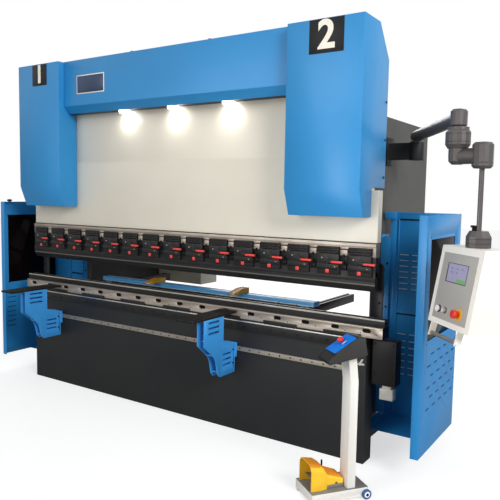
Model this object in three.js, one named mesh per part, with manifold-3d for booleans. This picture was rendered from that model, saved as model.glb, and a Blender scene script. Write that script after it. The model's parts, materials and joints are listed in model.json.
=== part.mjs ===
// A hydraulic press brake with a cream ram, blue covers, side guards, back gauge, two front supports,
// a control box on a swinging arm and a free-standing foot-switch pedestal.
// Millimetres, +Z up, -Y towards the operator. The origin is on the floor, under the middle of the die.
import * as THREE from "three";
import { mergeVertices } from "three/addons/utils/BufferGeometryUtils.js";
import Module from "manifold-3d";

const wasm = await Module();
wasm.setup();

// ---- Driving dimensions ----

const gap = 0.3; // between pieces that touch
const lap = 1; // how far joined shapes run into each other, and cutting shapes run past a face
const clear = 10; // how far a cutting shape runs out of an open side
const sheet = 3; // thickness of covers and guards
const dieLength = 3200;

// Bed, tool rail and die, stacked from the floor up
const bedLength = 3002;
const bedFront = -38;
const bedThickness = 115;
const bedHeight = 690;
const wedgeHeight = 73;
const wedgeDepth = 106;
const railHeight = 65;
const railDepth = 100;
const railInset = 2;
const dieHeight = 45;
const dieWidth = 60;
const veeWidth = 44;
const veeDepth = 22;
const guideRail = { length: 2980, bottom: 546, height: 29, depth: 8 };

// Side frames
const frameOuter = 1380;
const frameThickness = 60;
const frameBack = 1310;
const frameTop = 2088;
const upperArmFront = 100;
const throat = { bottom: 700, top: 1400, back: 420, radius: 70 };
const horn = { top: 2380, depth: 60, foot: 85 };
const gibBottom = 1450;

// Ram, rods and upper tools
const ramLength = 2 * frameOuter + 297;
const ramFront = -6;
const ramThickness = 60;
const ramBottom = 1309;
const ramTop = 2200;
const ramStroke = 148;
const ramShoulder = { top: 1800, from: frameOuter - 230, radius: 40 };
const ramWing = { top: 1612, length: 50.5 };
const rodRadius = 45;
const rodHeight = 330;
const rodFoot = { width: 140, height: 50 };
const punchTip = 1025;
const punchHeight = 115;
const punchWidth = 40;
const punchNose = { width: 24, height: 20, shoulder: 36 };
const holder = { inset: 12, neck: 5 };
const clampCount = 15;
const clampPitch = (ramLength + 3) / clampCount;
const clampWidth = clampPitch - 60;
const clampDepth = 25;
const clampTop = 1279;
const clampBottom = 1111;
const lever = { from: 20, to: 95, height: 14, middle: 1187, reach: 14 };

// Cylinders and their covers
const cylinderX = frameOuter - frameThickness / 2;
const cylinderWidth = 220;
const cylinderBottom = 1870;
const boreClearance = 0.5;
const boreRoof = 50;
const coverInner = frameOuter - 375;
const cover = { outer: frameOuter + 105, front: -184, top: 2561, topBack: 37, back: 188, slantEnd: 2376 };
const coverSkirt = { sideBottom: 1627, back: -10, bottom: 1458, nose: -127, chamferTop: 1612 };
const coverRib = { z: 2230, height: 6, front: 110, back: 150 };
const coverPassage = 2205; // the inner wall is cut away below this height, where the ram passes

// Beam cover and lamps
const beam = { front: -131, top: 2563, back: 60, chamferTop: 2227, nose: -87, bottom: 2174, lip: -10 };
const eyeStud = { x: 350, y: -60, radius: 14, height: 22 };
const lamp = { pitch: 468, shift: 27, radius: 42, taper: 6, height: 20, y: -48 };

// Side guards
const guard = { x: dieLength / 2 + 250, front: -120, back: 550, bottom: 145, top: 1480 };
const guardFlange = 45;
const guardHinge = { x: frameOuter + 20, y: 548, pin: 6, eye: 12, height: 50, armSetback: 2, flatFrom: 20 };
const guardPanel = { y: 470, inner: guard.x - 386 };
const guardFloorFront = 160;
const guardOpening = { front: -40, back: 430, bottom: 790, top: 1350 };
const windowLap = 15;
const slot = { rows: 6, columns: 5, length: 60, height: 9, top: 700, pitchZ: 62, pitchY: 118, first: 40 };
const guardKnob = { x: guard.x - 22, y: -48, radius: 12, height: 22, pad: 25, padLength: 80 };
const hingeStrip = { thickness: 3.7, front: 440, back: 560, overhang: 40, lug: 20 };
const hingePlate = { width: 60, thickness: 6, lift: 15, top: 1325 };

// Scale brackets on the ends of the bed
const scaleBracket = { inner: 1470, outer: 1542, thickness: 10, bottom: 480, top: 1190 };

// Crowning drive on the right end of the bed
const drive = { width: 144, front: -14, back: 76, bottom: 450, top: 750, chamfer: 15, chamferRise: 40 };
const plug = { width: 90, front: 0, back: 60, height: 45 };

// Oil tank and pump motor behind the ram
const tank = { front: 560, back: 1250, bottom: 1500, top: 1950, wall: 6, filler: 40, fillerX: -600 };
const motor = { x: 500, y: 900, radius: 90, length: 330, footHeight: 25, footDepth: 160, axleHeight: 122 };
const motorFlange = { overhang: 25, front: 15, back: 5 };

// Electrical cabinet on the back
const cabinet = { left: -1380, width: 600, depth: 250, bottom: 700, height: 1000, wall: 4 };

// Back gauge
const gaugeRail = { x: 930, width: 60, top: 830, height: 60, back: 1000, footBottom: 420, footDepth: 45 };
const gaugeBeam = { half: 1000, front: 255, depth: 80, height: 34, shoe: 6 };
const finger = { x: 400, width: 60, front: 140, height: 36, toe: 30, toeHeight: 18 };

// Front supports
const supportX = { left: -1186, right: 558 };
const support = { width: 56, plate: 5, web: 6, front: -395, back: -60, heel: -190, top: 798 };
const supportStep = { front: 634, shelf: 604, heelRise: 30 };
const supportFoot = { bottom: 405, front: -226, toe: -251, toeTop: 429 };
const supportArch = { y: -277, z: 535, radius: 110 };
const supportSlot = { height: 12, rise: 34, upper: 700, lower: 470, count: 3 };
const supportSlotEnd = { upper: 45, lowerFront: 30, lowerBack: 40 };
const supportTable = { front: -500, back: -52, thickness: 14 };
const carriage = { width: 110, bottom: 505, top: 600 };

// Control box arm
const shoulder = { x: frameOuter + 184, y: 509, radius: 45, bottom: 1811, top: 1923 };
const bracketPlate = { thickness: 12, width: 120, bottom: 1780, top: 1955 };
const bracketArm = { width: 60, bottom: 1815, top: 1920 };
const armTube = { z: 1963, radius: 35 };
const armHead = { radius: 42, top: 2003 };
const elbow = { x: guard.x + 171, y: -256, radius: 60, bottom: 1815, top: 1917 };
const knuckle = { radius: 42, bottom: 1738, tubeRadius: 28, tubeZ: 1777 };
const wrist = { x: guard.x + 300, y: -300, width: 88, bottom: 1716, top: 1838 };
const armPost = { radius: 12, baseRadius: 60, neckRadius: 44, baseHeight: 80, rim: 40 };

// Control box, in the frame of the arm's wrist, turned to face the operator
const boxTurn = THREE.MathUtils.degToRad(-44.5);
const box = { left: -186, right: 177, top: 1341, bottom: 960, topFront: -75, bottomFront: -142, back: 75 };
const boxBack = { bend: 1100, heel: 20, cableHole: 20 };
const screen = { x: -10, width: 178, height: 95, drop: 127, thickness: 2 };
const buttonDrop = 312; // from the top edge of the box to the row of buttons
const startButton = { x: -102, radius: 11, height: 10, stem: 7, travel: 3 };
const selector = { x: -48, radius: 11, height: 15, stem: 7 };
const stopButton = { x: 72, radius: 20, height: 18, neck: 16, stem: 8 };
const stemDepth = 12;
const capClearance = 1;
const stemClearance = 0.3;
const stemHole = { before: 5, beyond: 8 }; // how far it runs out of the face and past the stem
const handle = { left: -150, right: 95, radius: 9, drop: 55 };
const handleArm = { thickness: 6, root: 35, front: -160, back: -125 };

// Foot-switch pedestal, in its own frame, which stands to the right of the bed and is turned
const pedestal = { x: 1600, y: -450, turn: THREE.MathUtils.degToRad(53.13) };
const base = { left: -230, right: 95, front: -32, back: 173, deck: 60, deckThickness: 6, bar: 30, lift: 14 };
const foot = { radius: 15, inset: 15 };
const wheel = { x: 80, radius: 26, width: 14, axle: 6, standOff: 2 };
const stand = { left: -26, width: 51, front: -30, back: 80, kink: 625, lean: -18 };
const head = { halfWidth: 60, frontX: -176, lipX: -165, backX: 48, lip: 736, heel: 773 };
const headTop = { frontZ: 757, panelX: -129, panelZ: 796, ridgeX: -6, ridgeZ: 868, backX: 29, backZ: 864 };
const headStop = { along: 0.5, y: 8, radius: 16, height: 14, neck: 12, stem: 6 };
const hood = { front: -222, back: -29, left: 0, right: 150, wall: 4, floor: 5.7, insideBack: -47 };
const hoodRoof = { mouth: 195, crest: 200, step: 150, tail: 135, end: 120 };
const hoodBends = { crest: -165, step: -105, tail: -40 }; // where the roof bends, along X
const pedal = { tip: -195, pinX: -72, pinZ: 88, pinRadius: 5, thickness: 6, tipZ: 104, side: 20 };

// ---- Sizes that follow from them ----

const bedBack = bedFront + bedThickness;
const wedgeBottom = bedHeight + gap;
const wedgeTop = bedHeight + wedgeHeight;
const railTop = wedgeTop + railHeight;
const dieBottom = railTop + gap;
const dieTop = railTop + dieHeight;
const ramBack = ramFront + ramThickness;
const ramMiddle = (ramFront + ramBack) / 2;
const frameInner = frameOuter - frameThickness;
const gibTop = ramShoulder.top + rodFoot.height - ramStroke - clear; // stays below the rod's foot
const boxLean = Math.atan2(box.topFront - box.bottomFront, box.top - box.bottom);

// ---- Paints ----

function paint(color, roughness, metalness) {
  return new THREE.MeshStandardMaterial({ color, roughness, metalness });
}

const blue = paint(0x3a92cf, 0.45, 0.1);
const cream = paint(0xe0d8c6, 0.5, 0.05);
const charcoal = paint(0x383938, 0.55, 0.1);
const frameGrey = paint(0x4b4848, 0.55, 0.1);
const toolBlack = paint(0x1a1a1b, 0.4, 0.5);
const groundSteel = paint(0xa5968c, 0.35, 0.9);
const boxWhite = paint(0xf6f0e6, 0.4, 0.05);
const armBrown = paint(0x55504e, 0.5, 0.3);
const yellow = paint(0xf5b428, 0.4, 0);
const red = paint(0xe03a30, 0.4, 0);

// ---- Shapes ----

const AXIS_X = new THREE.Vector3(1, 0, 0);
const AXIS_Y = new THREE.Vector3(0, 1, 0);
const AXIS_Z = new THREE.Vector3(0, 0, 1);

// A block between two values on each axis, given in either order.
function block(xs, ys, zs) {
  const size = [xs, ys, zs].map(([a, b]) => Math.abs(b - a));
  const middle = [xs, ys, zs].map(([a, b]) => (a + b) / 2);
  return new THREE.BoxGeometry(...size).translate(...middle);
}

// A closed outline. Each corner is [a, b] or [a, b, radius of its rounding].
function outline(corners) {
  const steps = 5;
  const points = [];
  corners.forEach(([a, b, radius = 0], i) => {
    const here = new THREE.Vector2(a, b);
    if (!radius) {
      points.push(here);
      return;
    }
    const last = corners[(i + corners.length - 1) % corners.length];
    const next = corners[(i + 1) % corners.length];
    const into = new THREE.Vector2(last[0] - a, last[1] - b).normalize();
    const out = new THREE.Vector2(next[0] - a, next[1] - b).normalize();
    const half = Math.acos(into.dot(out)) / 2;
    const centre = into.clone().add(out).setLength(radius / Math.sin(half)).add(here);
    const start = into.clone().multiplyScalar(radius / Math.tan(half)).add(here).sub(centre);
    const end = out.clone().multiplyScalar(radius / Math.tan(half)).add(here).sub(centre);
    const sweep = Math.atan2(start.cross(end), start.dot(end));
    for (let k = 0; k <= steps; k++) {
      const turned = start.clone().rotateAround(new THREE.Vector2(), (sweep * k) / steps);
      points.push(turned.add(centre));
    }
  });
  return new THREE.Shape(points);
}

function extruded(corners, depth) {
  return new THREE.ExtrudeGeometry(outline(corners), { depth, bevelEnabled: false });
}

// A bar with an outline in Y and Z, between two values of X given in either order.
function barAlongX(corners, [a, b]) {
  const turned = extruded(corners, Math.abs(b - a));
  turned.applyMatrix4(new THREE.Matrix4().makeBasis(AXIS_Y, AXIS_Z, AXIS_X));
  return turned.translate(Math.min(a, b), 0, 0);
}

// A bar with an outline in X and Z, between two values of Y.
function barAlongY(corners, [front, back]) {
  const turned = extruded(corners, back - front);
  turned.applyMatrix4(new THREE.Matrix4().makeBasis(AXIS_X, AXIS_Z, AXIS_Y.clone().negate()));
  return turned.translate(0, back, 0);
}

// A round bar between two points; its second end may have a radius of its own.
function roundBar(radius, from, to, sides = 24, endRadius = radius) {
  const start = new THREE.Vector3(...from);
  const along = new THREE.Vector3(...to).sub(start);
  const bar = new THREE.CylinderGeometry(endRadius, radius, along.length(), sides);
  bar.translate(0, along.length() / 2, 0);
  bar.applyQuaternion(new THREE.Quaternion().setFromUnitVectors(AXIS_Y, along.normalize()));
  return bar.translate(...from);
}

// Joining and cutting closed geometries

function toSolid(geometry) {
  const bare = geometry.index ? geometry.toNonIndexed() : geometry.clone();
  bare.deleteAttribute("normal");
  bare.deleteAttribute("uv");
  const merged = mergeVertices(bare, 1e-4);
  const vertProperties = new Float32Array(merged.attributes.position.array);
  const triVerts = new Uint32Array(merged.index.array);
  return new wasm.Manifold(new wasm.Mesh({ numProp: 3, vertProperties, triVerts }));
}

function toGeometry(solid) {
  const mesh = solid.getMesh();
  const geometry = new THREE.BufferGeometry();
  geometry.setAttribute("position", new THREE.BufferAttribute(mesh.vertProperties, 3));
  geometry.setIndex(new THREE.BufferAttribute(mesh.triVerts, 1));
  return geometry;
}

function join(...geometries) {
  return toGeometry(geometries.map(toSolid).reduce((all, next) => all.add(next)));
}

function cut(body, ...tools) {
  return toGeometry(tools.map(toSolid).reduce((left, tool) => left.subtract(tool), toSolid(body)));
}

// ---- The scene ----

const machine = new THREE.Group();

function place(name, geometry, material, parent = machine) {
  const mesh = new THREE.Mesh(geometry, material);
  mesh.name = name;
  parent.add(mesh);
  return mesh;
}

const SIDES = [["left", -1], ["right", 1]];

// ---- Bed and lower tools ----

function bed() {
  const ends = [-bedLength / 2, bedLength / 2];
  place("bed_plate", block(ends, [bedFront, bedBack], [0, bedHeight]), charcoal);
  const wedgeYs = [-wedgeDepth / 2, wedgeDepth / 2];
  place("wedge_table", block(ends, wedgeYs, [wedgeBottom, wedgeTop]), toolBlack);
  const railEnds = [railInset - dieLength / 2, dieLength / 2 - railInset];
  const railYs = [-railDepth / 2, railDepth / 2];
  place("die_rail", block(railEnds, railYs, [wedgeTop + gap, railTop]), groundSteel);
  const guideYs = [bedFront - guideRail.depth, bedFront - gap];
  const guideZs = [guideRail.bottom, guideRail.bottom + guideRail.height];
  place("support_rail", block([-guideRail.length / 2, guideRail.length / 2], guideYs, guideZs), groundSteel);
}

function vDie() {
  const profile = [
    [-dieWidth / 2, dieBottom],
    [dieWidth / 2, dieBottom],
    [dieWidth / 2, dieTop],
    [veeWidth / 2, dieTop],
    [0, dieTop - veeDepth],
    [-veeWidth / 2, dieTop],
    [-dieWidth / 2, dieTop],
  ];
  place("v_die", barAlongX(profile, [-dieLength / 2, dieLength / 2]), toolBlack);
}

// ---- Side frames ----

// A C-shaped plate: lower arm behind the bed, throat, upper arm with the ram's gib and the cylinder's horn.
function sideFrame(side, sign) {
  const profile = [
    [bedBack + gap, 0],
    [frameBack, 0],
    [frameBack, frameTop],
    [upperArmFront + horn.foot, frameTop],
    [upperArmFront + horn.depth, horn.top],
    [upperArmFront, horn.top],
    [upperArmFront, gibTop],
    [ramBack + gap, gibTop],
    [ramBack + gap, gibBottom],
    [upperArmFront, gibBottom],
    [upperArmFront, throat.top],
    [throat.back, throat.top, throat.radius],
    [throat.back, throat.bottom, throat.radius],
    [bedBack + gap, throat.bottom],
  ];
  place(`${side}_side_frame`, barAlongX(profile, [sign * frameInner, sign * frameOuter]), frameGrey);
}

// ---- Ram, rods, clamps and punch ----

function ram() {
  const half = ramLength / 2;
  const wing = half - ramWing.length;
  const right = [
    [half, ramBottom],
    [half, ramWing.top],
    [wing, ramWing.top],
    [wing, ramShoulder.top],
    [ramShoulder.from, ramShoulder.top, ramShoulder.radius],
    [ramShoulder.from, ramTop],
  ];
  const left = right.map(([x, z, radius]) => [-x, z, radius]).reverse();
  place("ram_plate", barAlongY([...right, ...left], [ramFront, ramBack]), cream);
  place("punch", barAlongX(punchProfile(), [-half, half]), toolBlack);
  place("clamp_bank", clampBank(), toolBlack);
}

function punchProfile() {
  const half = punchWidth / 2;
  const right = [
    [0, punchTip],
    [punchNose.width / 2, punchTip + punchNose.height],
    [half, punchTip + punchNose.shoulder],
    [half, punchTip + punchHeight],
  ];
  const left = right.slice(1).map(([y, z]) => [-y, z]).reverse();
  return [...right, ...left];
}

// A steel holder bar with a row of clamps on its front, each with a lever.
function clampBank() {
  const half = ramLength / 2;
  const holderFront = -punchWidth / 2;
  const holderBottom = punchTip + punchHeight + gap;
  const clampFront = holderFront - gap - clampDepth;
  const holderYs = [holderFront, ramBack - holder.inset];
  const neckYs = [holderFront - lap, holderFront + holder.neck];
  const neckZs = [holderBottom + holder.neck, clampTop];
  const leverYs = [clampFront - lever.reach, clampFront + lap];
  const leverZs = [lever.middle - lever.height / 2, lever.middle + lever.height / 2];
  const pieces = [block([-half, half], holderYs, [holderBottom, ramBottom - gap])];
  for (let i = 0; i < clampCount; i++) {
    const x = (i - (clampCount - 1) / 2) * clampPitch;
    const xs = [x - clampWidth / 2, x + clampWidth / 2];
    pieces.push(block(xs, [clampFront, holderFront - gap], [clampBottom, clampTop]));
    pieces.push(block(xs, neckYs, neckZs));
    pieces.push(block([x + lever.from, x + lever.to], leverYs, leverZs));
  }
  return join(...pieces);
}

// A piston rod on the ram's shoulder, inside its cylinder.
function cylinderAndRod(side, sign) {
  const x = sign * cylinderX;
  const footBottom = ramShoulder.top + gap;
  const footTop = footBottom + rodFoot.height;
  const footXs = [x - rodFoot.width / 2, x + rodFoot.width / 2];
  const rodTop = footBottom + rodHeight;
  const rod = join(
    block(footXs, [ramFront, ramBack], [footBottom, footTop]),
    roundBar(rodRadius, [x, ramMiddle, footTop - lap], [x, ramMiddle, rodTop]),
  );
  place(`${side}_piston_rod`, rod, groundSteel);
  const back = upperArmFront - gap;
  const front = 2 * ramMiddle - back;
  const xs = [x - cylinderWidth / 2, x + cylinderWidth / 2];
  const barrel = cut(
    block(xs, [front, back], [cylinderBottom, horn.top]),
    roundBar(
      rodRadius + boreClearance,
      [x, ramMiddle, cylinderBottom - clear],
      [x, ramMiddle, horn.top - boreRoof],
    ),
  );
  place(`${side}_cylinder`, barrel, frameGrey);
}

// ---- Covers and lamps ----

// A deep sheet cover over a cylinder, open at the back, with ribs that reach the side frame.
function cylinderCover(side, sign) {
  const outer = [
    [cover.front, cover.top],
    [cover.topBack, cover.top],
    [cover.back, cover.slantEnd],
    [cover.back, coverSkirt.sideBottom],
    [coverSkirt.back, coverSkirt.sideBottom],
    [coverSkirt.back, coverSkirt.bottom],
    [coverSkirt.nose, coverSkirt.bottom],
    [cover.front, coverSkirt.chamferTop],
  ];
  const far = cover.back + clear;
  const inside = [
    [cover.front + sheet, cover.top - sheet],
    [far, cover.top - sheet],
    [far, coverSkirt.bottom + sheet],
    [coverSkirt.nose + sheet / 2, coverSkirt.bottom + sheet],
    [cover.front + sheet, coverSkirt.chamferTop + sheet / 2],
  ];
  const wallXs = [sign * (coverInner + sheet), sign * (cover.outer - sheet)];
  const passage = block(
    [sign * (coverInner - lap), sign * (coverInner + sheet + lap)],
    [coverSkirt.back, far],
    [coverSkirt.bottom - clear, coverPassage],
  );
  const shell = cut(
    barAlongX(outer, [sign * coverInner, sign * cover.outer]),
    barAlongX(inside, wallXs),
    passage,
  );
  const ribYs = [coverRib.front, coverRib.back];
  const ribZs = [coverRib.z, coverRib.z + coverRib.height];
  const innerRib = block([sign * (coverInner + lap), sign * (frameInner - gap)], ribYs, ribZs);
  const outerRib = block([sign * (frameOuter + gap), sign * (cover.outer - lap)], ribYs, ribZs);
  place(`${side}_cylinder_cover`, join(shell, innerRib, outerRib), blue);
}

function beamCover() {
  const profile = [
    [beam.back, beam.top],
    [beam.front, beam.top],
    [beam.front, beam.chamferTop],
    [beam.nose, beam.bottom],
    [beam.lip, beam.bottom],
    [beam.lip, beam.bottom + sheet],
    [beam.nose + sheet / 2, beam.bottom + sheet],
    [beam.front + sheet, beam.chamferTop + sheet / 2],
    [beam.front + sheet, beam.top - sheet],
    [beam.back, beam.top - sheet],
  ];
  const half = coverInner - gap;
  const studs = [-1, 1].map((sign) => {
    const { x, y, radius, height } = eyeStud;
    return roundBar(radius, [sign * x, y, beam.top - lap], [sign * x, y, beam.top + height], 12);
  });
  place("beam_cover", join(barAlongX(profile, [-half, half]), ...studs), blue);
  ["left", "middle", "right"].forEach((where, i) => {
    const x = (i - 1) * lamp.pitch + lamp.shift;
    const top = beam.bottom - gap;
    const ends = [[x, lamp.y, top - lamp.height], [x, lamp.y, top]];
    place(`${where}_work_lamp`, roundBar(lamp.radius - lamp.taper, ...ends, 24, lamp.radius), boxWhite);
  });
}

// ---- Side guards ----

// The swinging cage: outer panel with an opening and rows of slots, front and back flanges,
// a floor, a top, and two arms that end in hinge eyes.
function guardCage(side, sign) {
  const inner = guard.x - sheet;
  const zs = [guard.bottom, guard.top];
  const topZs = [guard.top - sheet, guard.top];
  const floorZs = [guard.bottom, guard.bottom + sheet];
  const panel = cut(
    block([sign * inner, sign * guard.x], [guard.front, guard.back], zs),
    block(
      [sign * (inner - lap), sign * (guard.x + lap)],
      [guardOpening.front, guardOpening.back],
      [guardOpening.bottom, guardOpening.top],
    ),
    ...guardSlots(sign),
  );
  const flangeXs = [sign * (guard.x - guardFlange), sign * (guard.x - lap)];
  const plateXs = [sign * guardPanel.inner, sign * (guard.x - lap)];
  const pieces = [
    panel,
    block(flangeXs, [guard.front, guard.front + sheet], zs),
    block(flangeXs, [guard.back - sheet, guard.back], zs),
    block(plateXs, [guardPanel.y, guard.back], topZs),
    block(plateXs, [guardFloorFront, guard.back], floorZs),
  ];
  const armBack = guardHinge.y + guardHinge.armSetback;
  const armXs = [sign * guardHinge.x, sign * (guardPanel.inner + lap)];
  const flatXs = [sign * (guardHinge.x + guardHinge.flatFrom), sign * (guardPanel.inner + lap)];
  for (const z of [guard.top - guardHinge.height, guard.bottom]) {
    const eyeZs = [z, z + guardHinge.height];
    const flatZs = z === guard.bottom ? floorZs : topZs;
    pieces.push(block(armXs, [armBack - sheet, armBack], eyeZs));
    pieces.push(block(flatXs, [guardPanel.y, guard.back], flatZs));
    pieces.push(hingeRound(sign, guardHinge.eye, eyeZs));
  }
  if (side === "left") {
    const { x, y, radius, height, pad, padLength } = guardKnob;
    const padYs = [y - padLength / 2, y + padLength / 2];
    pieces.push(block([sign * (x - pad), sign * guard.x], padYs, topZs));
    pieces.push(roundBar(radius, [sign * x, y, guard.top - lap], [sign * x, y, guard.top + height], 12));
  }
  const boreZs = [guard.bottom - lap, guard.top + lap];
  const bore = hingeRound(sign, guardHinge.pin + boreClearance, boreZs);
  return cut(join(...pieces), bore);
}

// Rows of short slots low on the panel; every other row is shifted by half a pitch.
function guardSlots(sign) {
  const slots = [];
  for (let row = 0; row < slot.rows; row++) {
    for (let column = 0; column < slot.columns; column++) {
      const y = slot.first + column * slot.pitchY - (row % 2 ? slot.pitchY / 2 : 0);
      const z = slot.top - row * slot.pitchZ;
      const xs = [sign * (guard.x - sheet - lap), sign * (guard.x + lap)];
      slots.push(block(xs, [y, y + slot.length], [z, z + slot.height]));
    }
  }
  return slots;
}

function hingeRound(sign, radius, [bottom, top]) {
  const { x, y } = guardHinge;
  return roundBar(radius, [sign * x, y, bottom], [sign * x, y, top], 16);
}

function sideGuard(side, sign) {
  place(`${side}_guard_cage`, guardCage(side, sign), blue);
  const edge = sign * (guard.x - sheet - gap);
  const panelZs = [guard.bottom + sheet + gap, guard.top - sheet - gap];
  const panelYs = [guardPanel.y, guardPanel.y + sheet];
  place(`${side}_guard_louvre_panel`, block([sign * guardPanel.inner, edge], panelYs, panelZs), blue);
  const pane = block(
    [edge, edge - sign * sheet],
    [guardOpening.front - windowLap, guardOpening.back + windowLap],
    [guardOpening.bottom - windowLap, guardOpening.top + windowLap],
  );
  place(`${side}_guard_window`, pane, toolBlack);
  place(`${side}_hinge_post`, hingePost(sign), blue);
}

// A strip and a round-topped plate on the side frame, with lugs and a pin above and below each hinge eye.
function hingePost(sign) {
  const near = frameOuter + gap;
  const face = near + hingeStrip.thickness;
  const { lug, overhang } = hingeStrip;
  const stripZs = [guard.bottom - overhang, guard.top + overhang];
  const plateOuter = near + hingePlate.width;
  const plateBottom = guard.bottom + hingePlate.lift;
  const plateRound = hingePlate.width / 2 - lap;
  const plate = [
    [sign * near, plateBottom],
    [sign * plateOuter, plateBottom],
    [sign * plateOuter, hingePlate.top, plateRound],
    [sign * near, hingePlate.top, plateRound],
  ];
  const pieces = [
    block([sign * near, sign * face], [hingeStrip.front, hingeStrip.back], stripZs),
    barAlongY(plate, [hingeStrip.front, hingeStrip.front + hingePlate.thickness]),
  ];
  const eyes = [
    [guard.top - guardHinge.height, guard.top],
    [guard.bottom, guard.bottom + guardHinge.height],
  ];
  for (const [bottom, top] of eyes) {
    pieces.push(hingeRound(sign, guardHinge.pin, [bottom - lug, top + lug]));
    for (const z of [bottom - lug, top + gap]) {
      const lugXs = [sign * (face - lap), sign * guardHinge.x];
      const lugZs = [z, z + lug - gap];
      pieces.push(block(lugXs, [guardHinge.y - guardHinge.eye, guardHinge.y + guardHinge.eye], lugZs));
      pieces.push(hingeRound(sign, guardHinge.eye, lugZs));
    }
  }
  return join(...pieces);
}

// A round-topped plate on the back of the bed's end, for the ram's position scale.
function scaleBracketPlate(side, sign) {
  const width = scaleBracket.outer - scaleBracket.inner;
  const corners = [
    [sign * scaleBracket.inner, scaleBracket.bottom],
    [sign * scaleBracket.outer, scaleBracket.bottom],
    [sign * scaleBracket.outer, scaleBracket.top, width / 2 - lap],
    [sign * scaleBracket.inner, scaleBracket.top, width / 2 - lap],
  ];
  const ys = [bedBack + gap, bedBack + gap + scaleBracket.thickness];
  place(`${side}_scale_bracket`, barAlongY(corners, ys), toolBlack);
}

// ---- Drives, tank and cabinet ----

function crowningDrive() {
  const left = bedLength / 2 + gap;
  const middle = left + drive.width / 2;
  const housing = [
    [drive.front, drive.bottom],
    [drive.back - drive.chamfer, drive.bottom],
    [drive.back, drive.bottom + drive.chamferRise],
    [drive.back, drive.top],
    [drive.front, drive.top],
  ];
  const plugXs = [middle - plug.width / 2, middle + plug.width / 2];
  const plugZs = [drive.bottom - plug.height, drive.bottom + lap];
  const plugBlock = block(plugXs, [plug.front, plug.back], plugZs);
  place("crowning_drive", join(barAlongX(housing, [left, left + drive.width]), plugBlock), toolBlack);
}

function oilTank() {
  const half = frameInner - gap;
  const { front, back, bottom, top, wall } = tank;
  const fillerY = (front + back) / 2;
  const tankBox = cut(
    block([-half, half], [front, back], [bottom, top]),
    block([wall - half, half - wall], [front + wall, back - wall], [bottom + wall, top - wall]),
    roundBar(tank.filler, [tank.fillerX, fillerY, top - wall - clear], [tank.fillerX, fillerY, top + clear]),
  );
  place("oil_tank", tankBox, frameGrey);
  const footBottom = top + gap;
  const axle = footBottom + motor.axleHeight;
  const ends = [motor.x - motor.length / 2, motor.x + motor.length / 2];
  const footYs = [motor.y - motor.footDepth / 2, motor.y + motor.footDepth / 2];
  const flangeFront = ends[0] - motorFlange.front;
  const flangeBack = ends[0] + motorFlange.back;
  const flangeRadius = motor.radius + motorFlange.overhang;
  const body = join(
    block(ends, footYs, [footBottom, footBottom + motor.footHeight]),
    roundBar(motor.radius, [ends[0], motor.y, axle], [ends[1], motor.y, axle], 20),
    roundBar(flangeRadius, [flangeFront, motor.y, axle], [flangeBack, motor.y, axle], 20),
  );
  place("pump_motor", body, charcoal);
}

function electricalCabinet() {
  const { left, width, depth, bottom, height, wall } = cabinet;
  const front = frameBack + gap;
  const back = front + depth;
  const insideXs = [left + wall, left + width - wall];
  const shell = cut(
    block([left, left + width], [front, back], [bottom, bottom + height]),
    block(insideXs, [front + wall, back + lap], [bottom + wall, bottom + height - wall]),
  );
  place("electrical_cabinet", shell, blue);
  const doorYs = [back + gap, back + gap + wall];
  place("cabinet_door", block([left, left + width], doorYs, [bottom, bottom + height]), blue);
}

// ---- Back gauge ----

// A rail that stands on the back of the bed plate and runs away from it.
function gaugeRailBar(side, sign) {
  const front = bedBack + gap;
  const under = gaugeRail.top - gaugeRail.height;
  const profile = [
    [front, gaugeRail.footBottom],
    [front + gaugeRail.footDepth, gaugeRail.footBottom],
    [front + 3 * gaugeRail.footDepth, under],
    [gaugeRail.back, under],
    [gaugeRail.back, gaugeRail.top],
    [front, gaugeRail.top],
  ];
  const xs = [gaugeRail.x - gaugeRail.width / 2, gaugeRail.x + gaugeRail.width / 2].map((x) => sign * x);
  place(`${side}_gauge_rail`, barAlongX(profile, xs), toolBlack);
}

function backGauge() {
  const shoeBottom = gaugeRail.top + gap;
  const beamBottom = shoeBottom + gaugeBeam.shoe;
  const beamTop = beamBottom + gaugeBeam.height;
  const ys = [gaugeBeam.front, gaugeBeam.front + gaugeBeam.depth];
  const pieces = [block([-gaugeBeam.half, gaugeBeam.half], ys, [beamBottom, beamTop])];
  for (const [, sign] of SIDES) {
    const xs = [gaugeRail.x - gaugeRail.width / 2, gaugeRail.x + gaugeRail.width / 2].map((x) => sign * x);
    pieces.push(block(xs, ys, [shoeBottom, beamBottom + lap]));
  }
  place("gauge_beam", join(...pieces), blue);
  const bottom = beamTop + gap;
  const profile = [
    [ys[1], bottom],
    [ys[1], bottom + finger.height],
    [ys[0], bottom + finger.height],
    [finger.front + finger.toe, bottom + finger.toeHeight],
    [finger.front, bottom + finger.toeHeight],
    [finger.front, bottom],
  ];
  for (const [side, sign] of SIDES) {
    const x = sign * finger.x;
    place(`${side}_gauge_finger`, barAlongX(profile, [x - finger.width / 2, x + finger.width / 2]), yellow);
  }
}

// ---- Front supports ----

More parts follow.
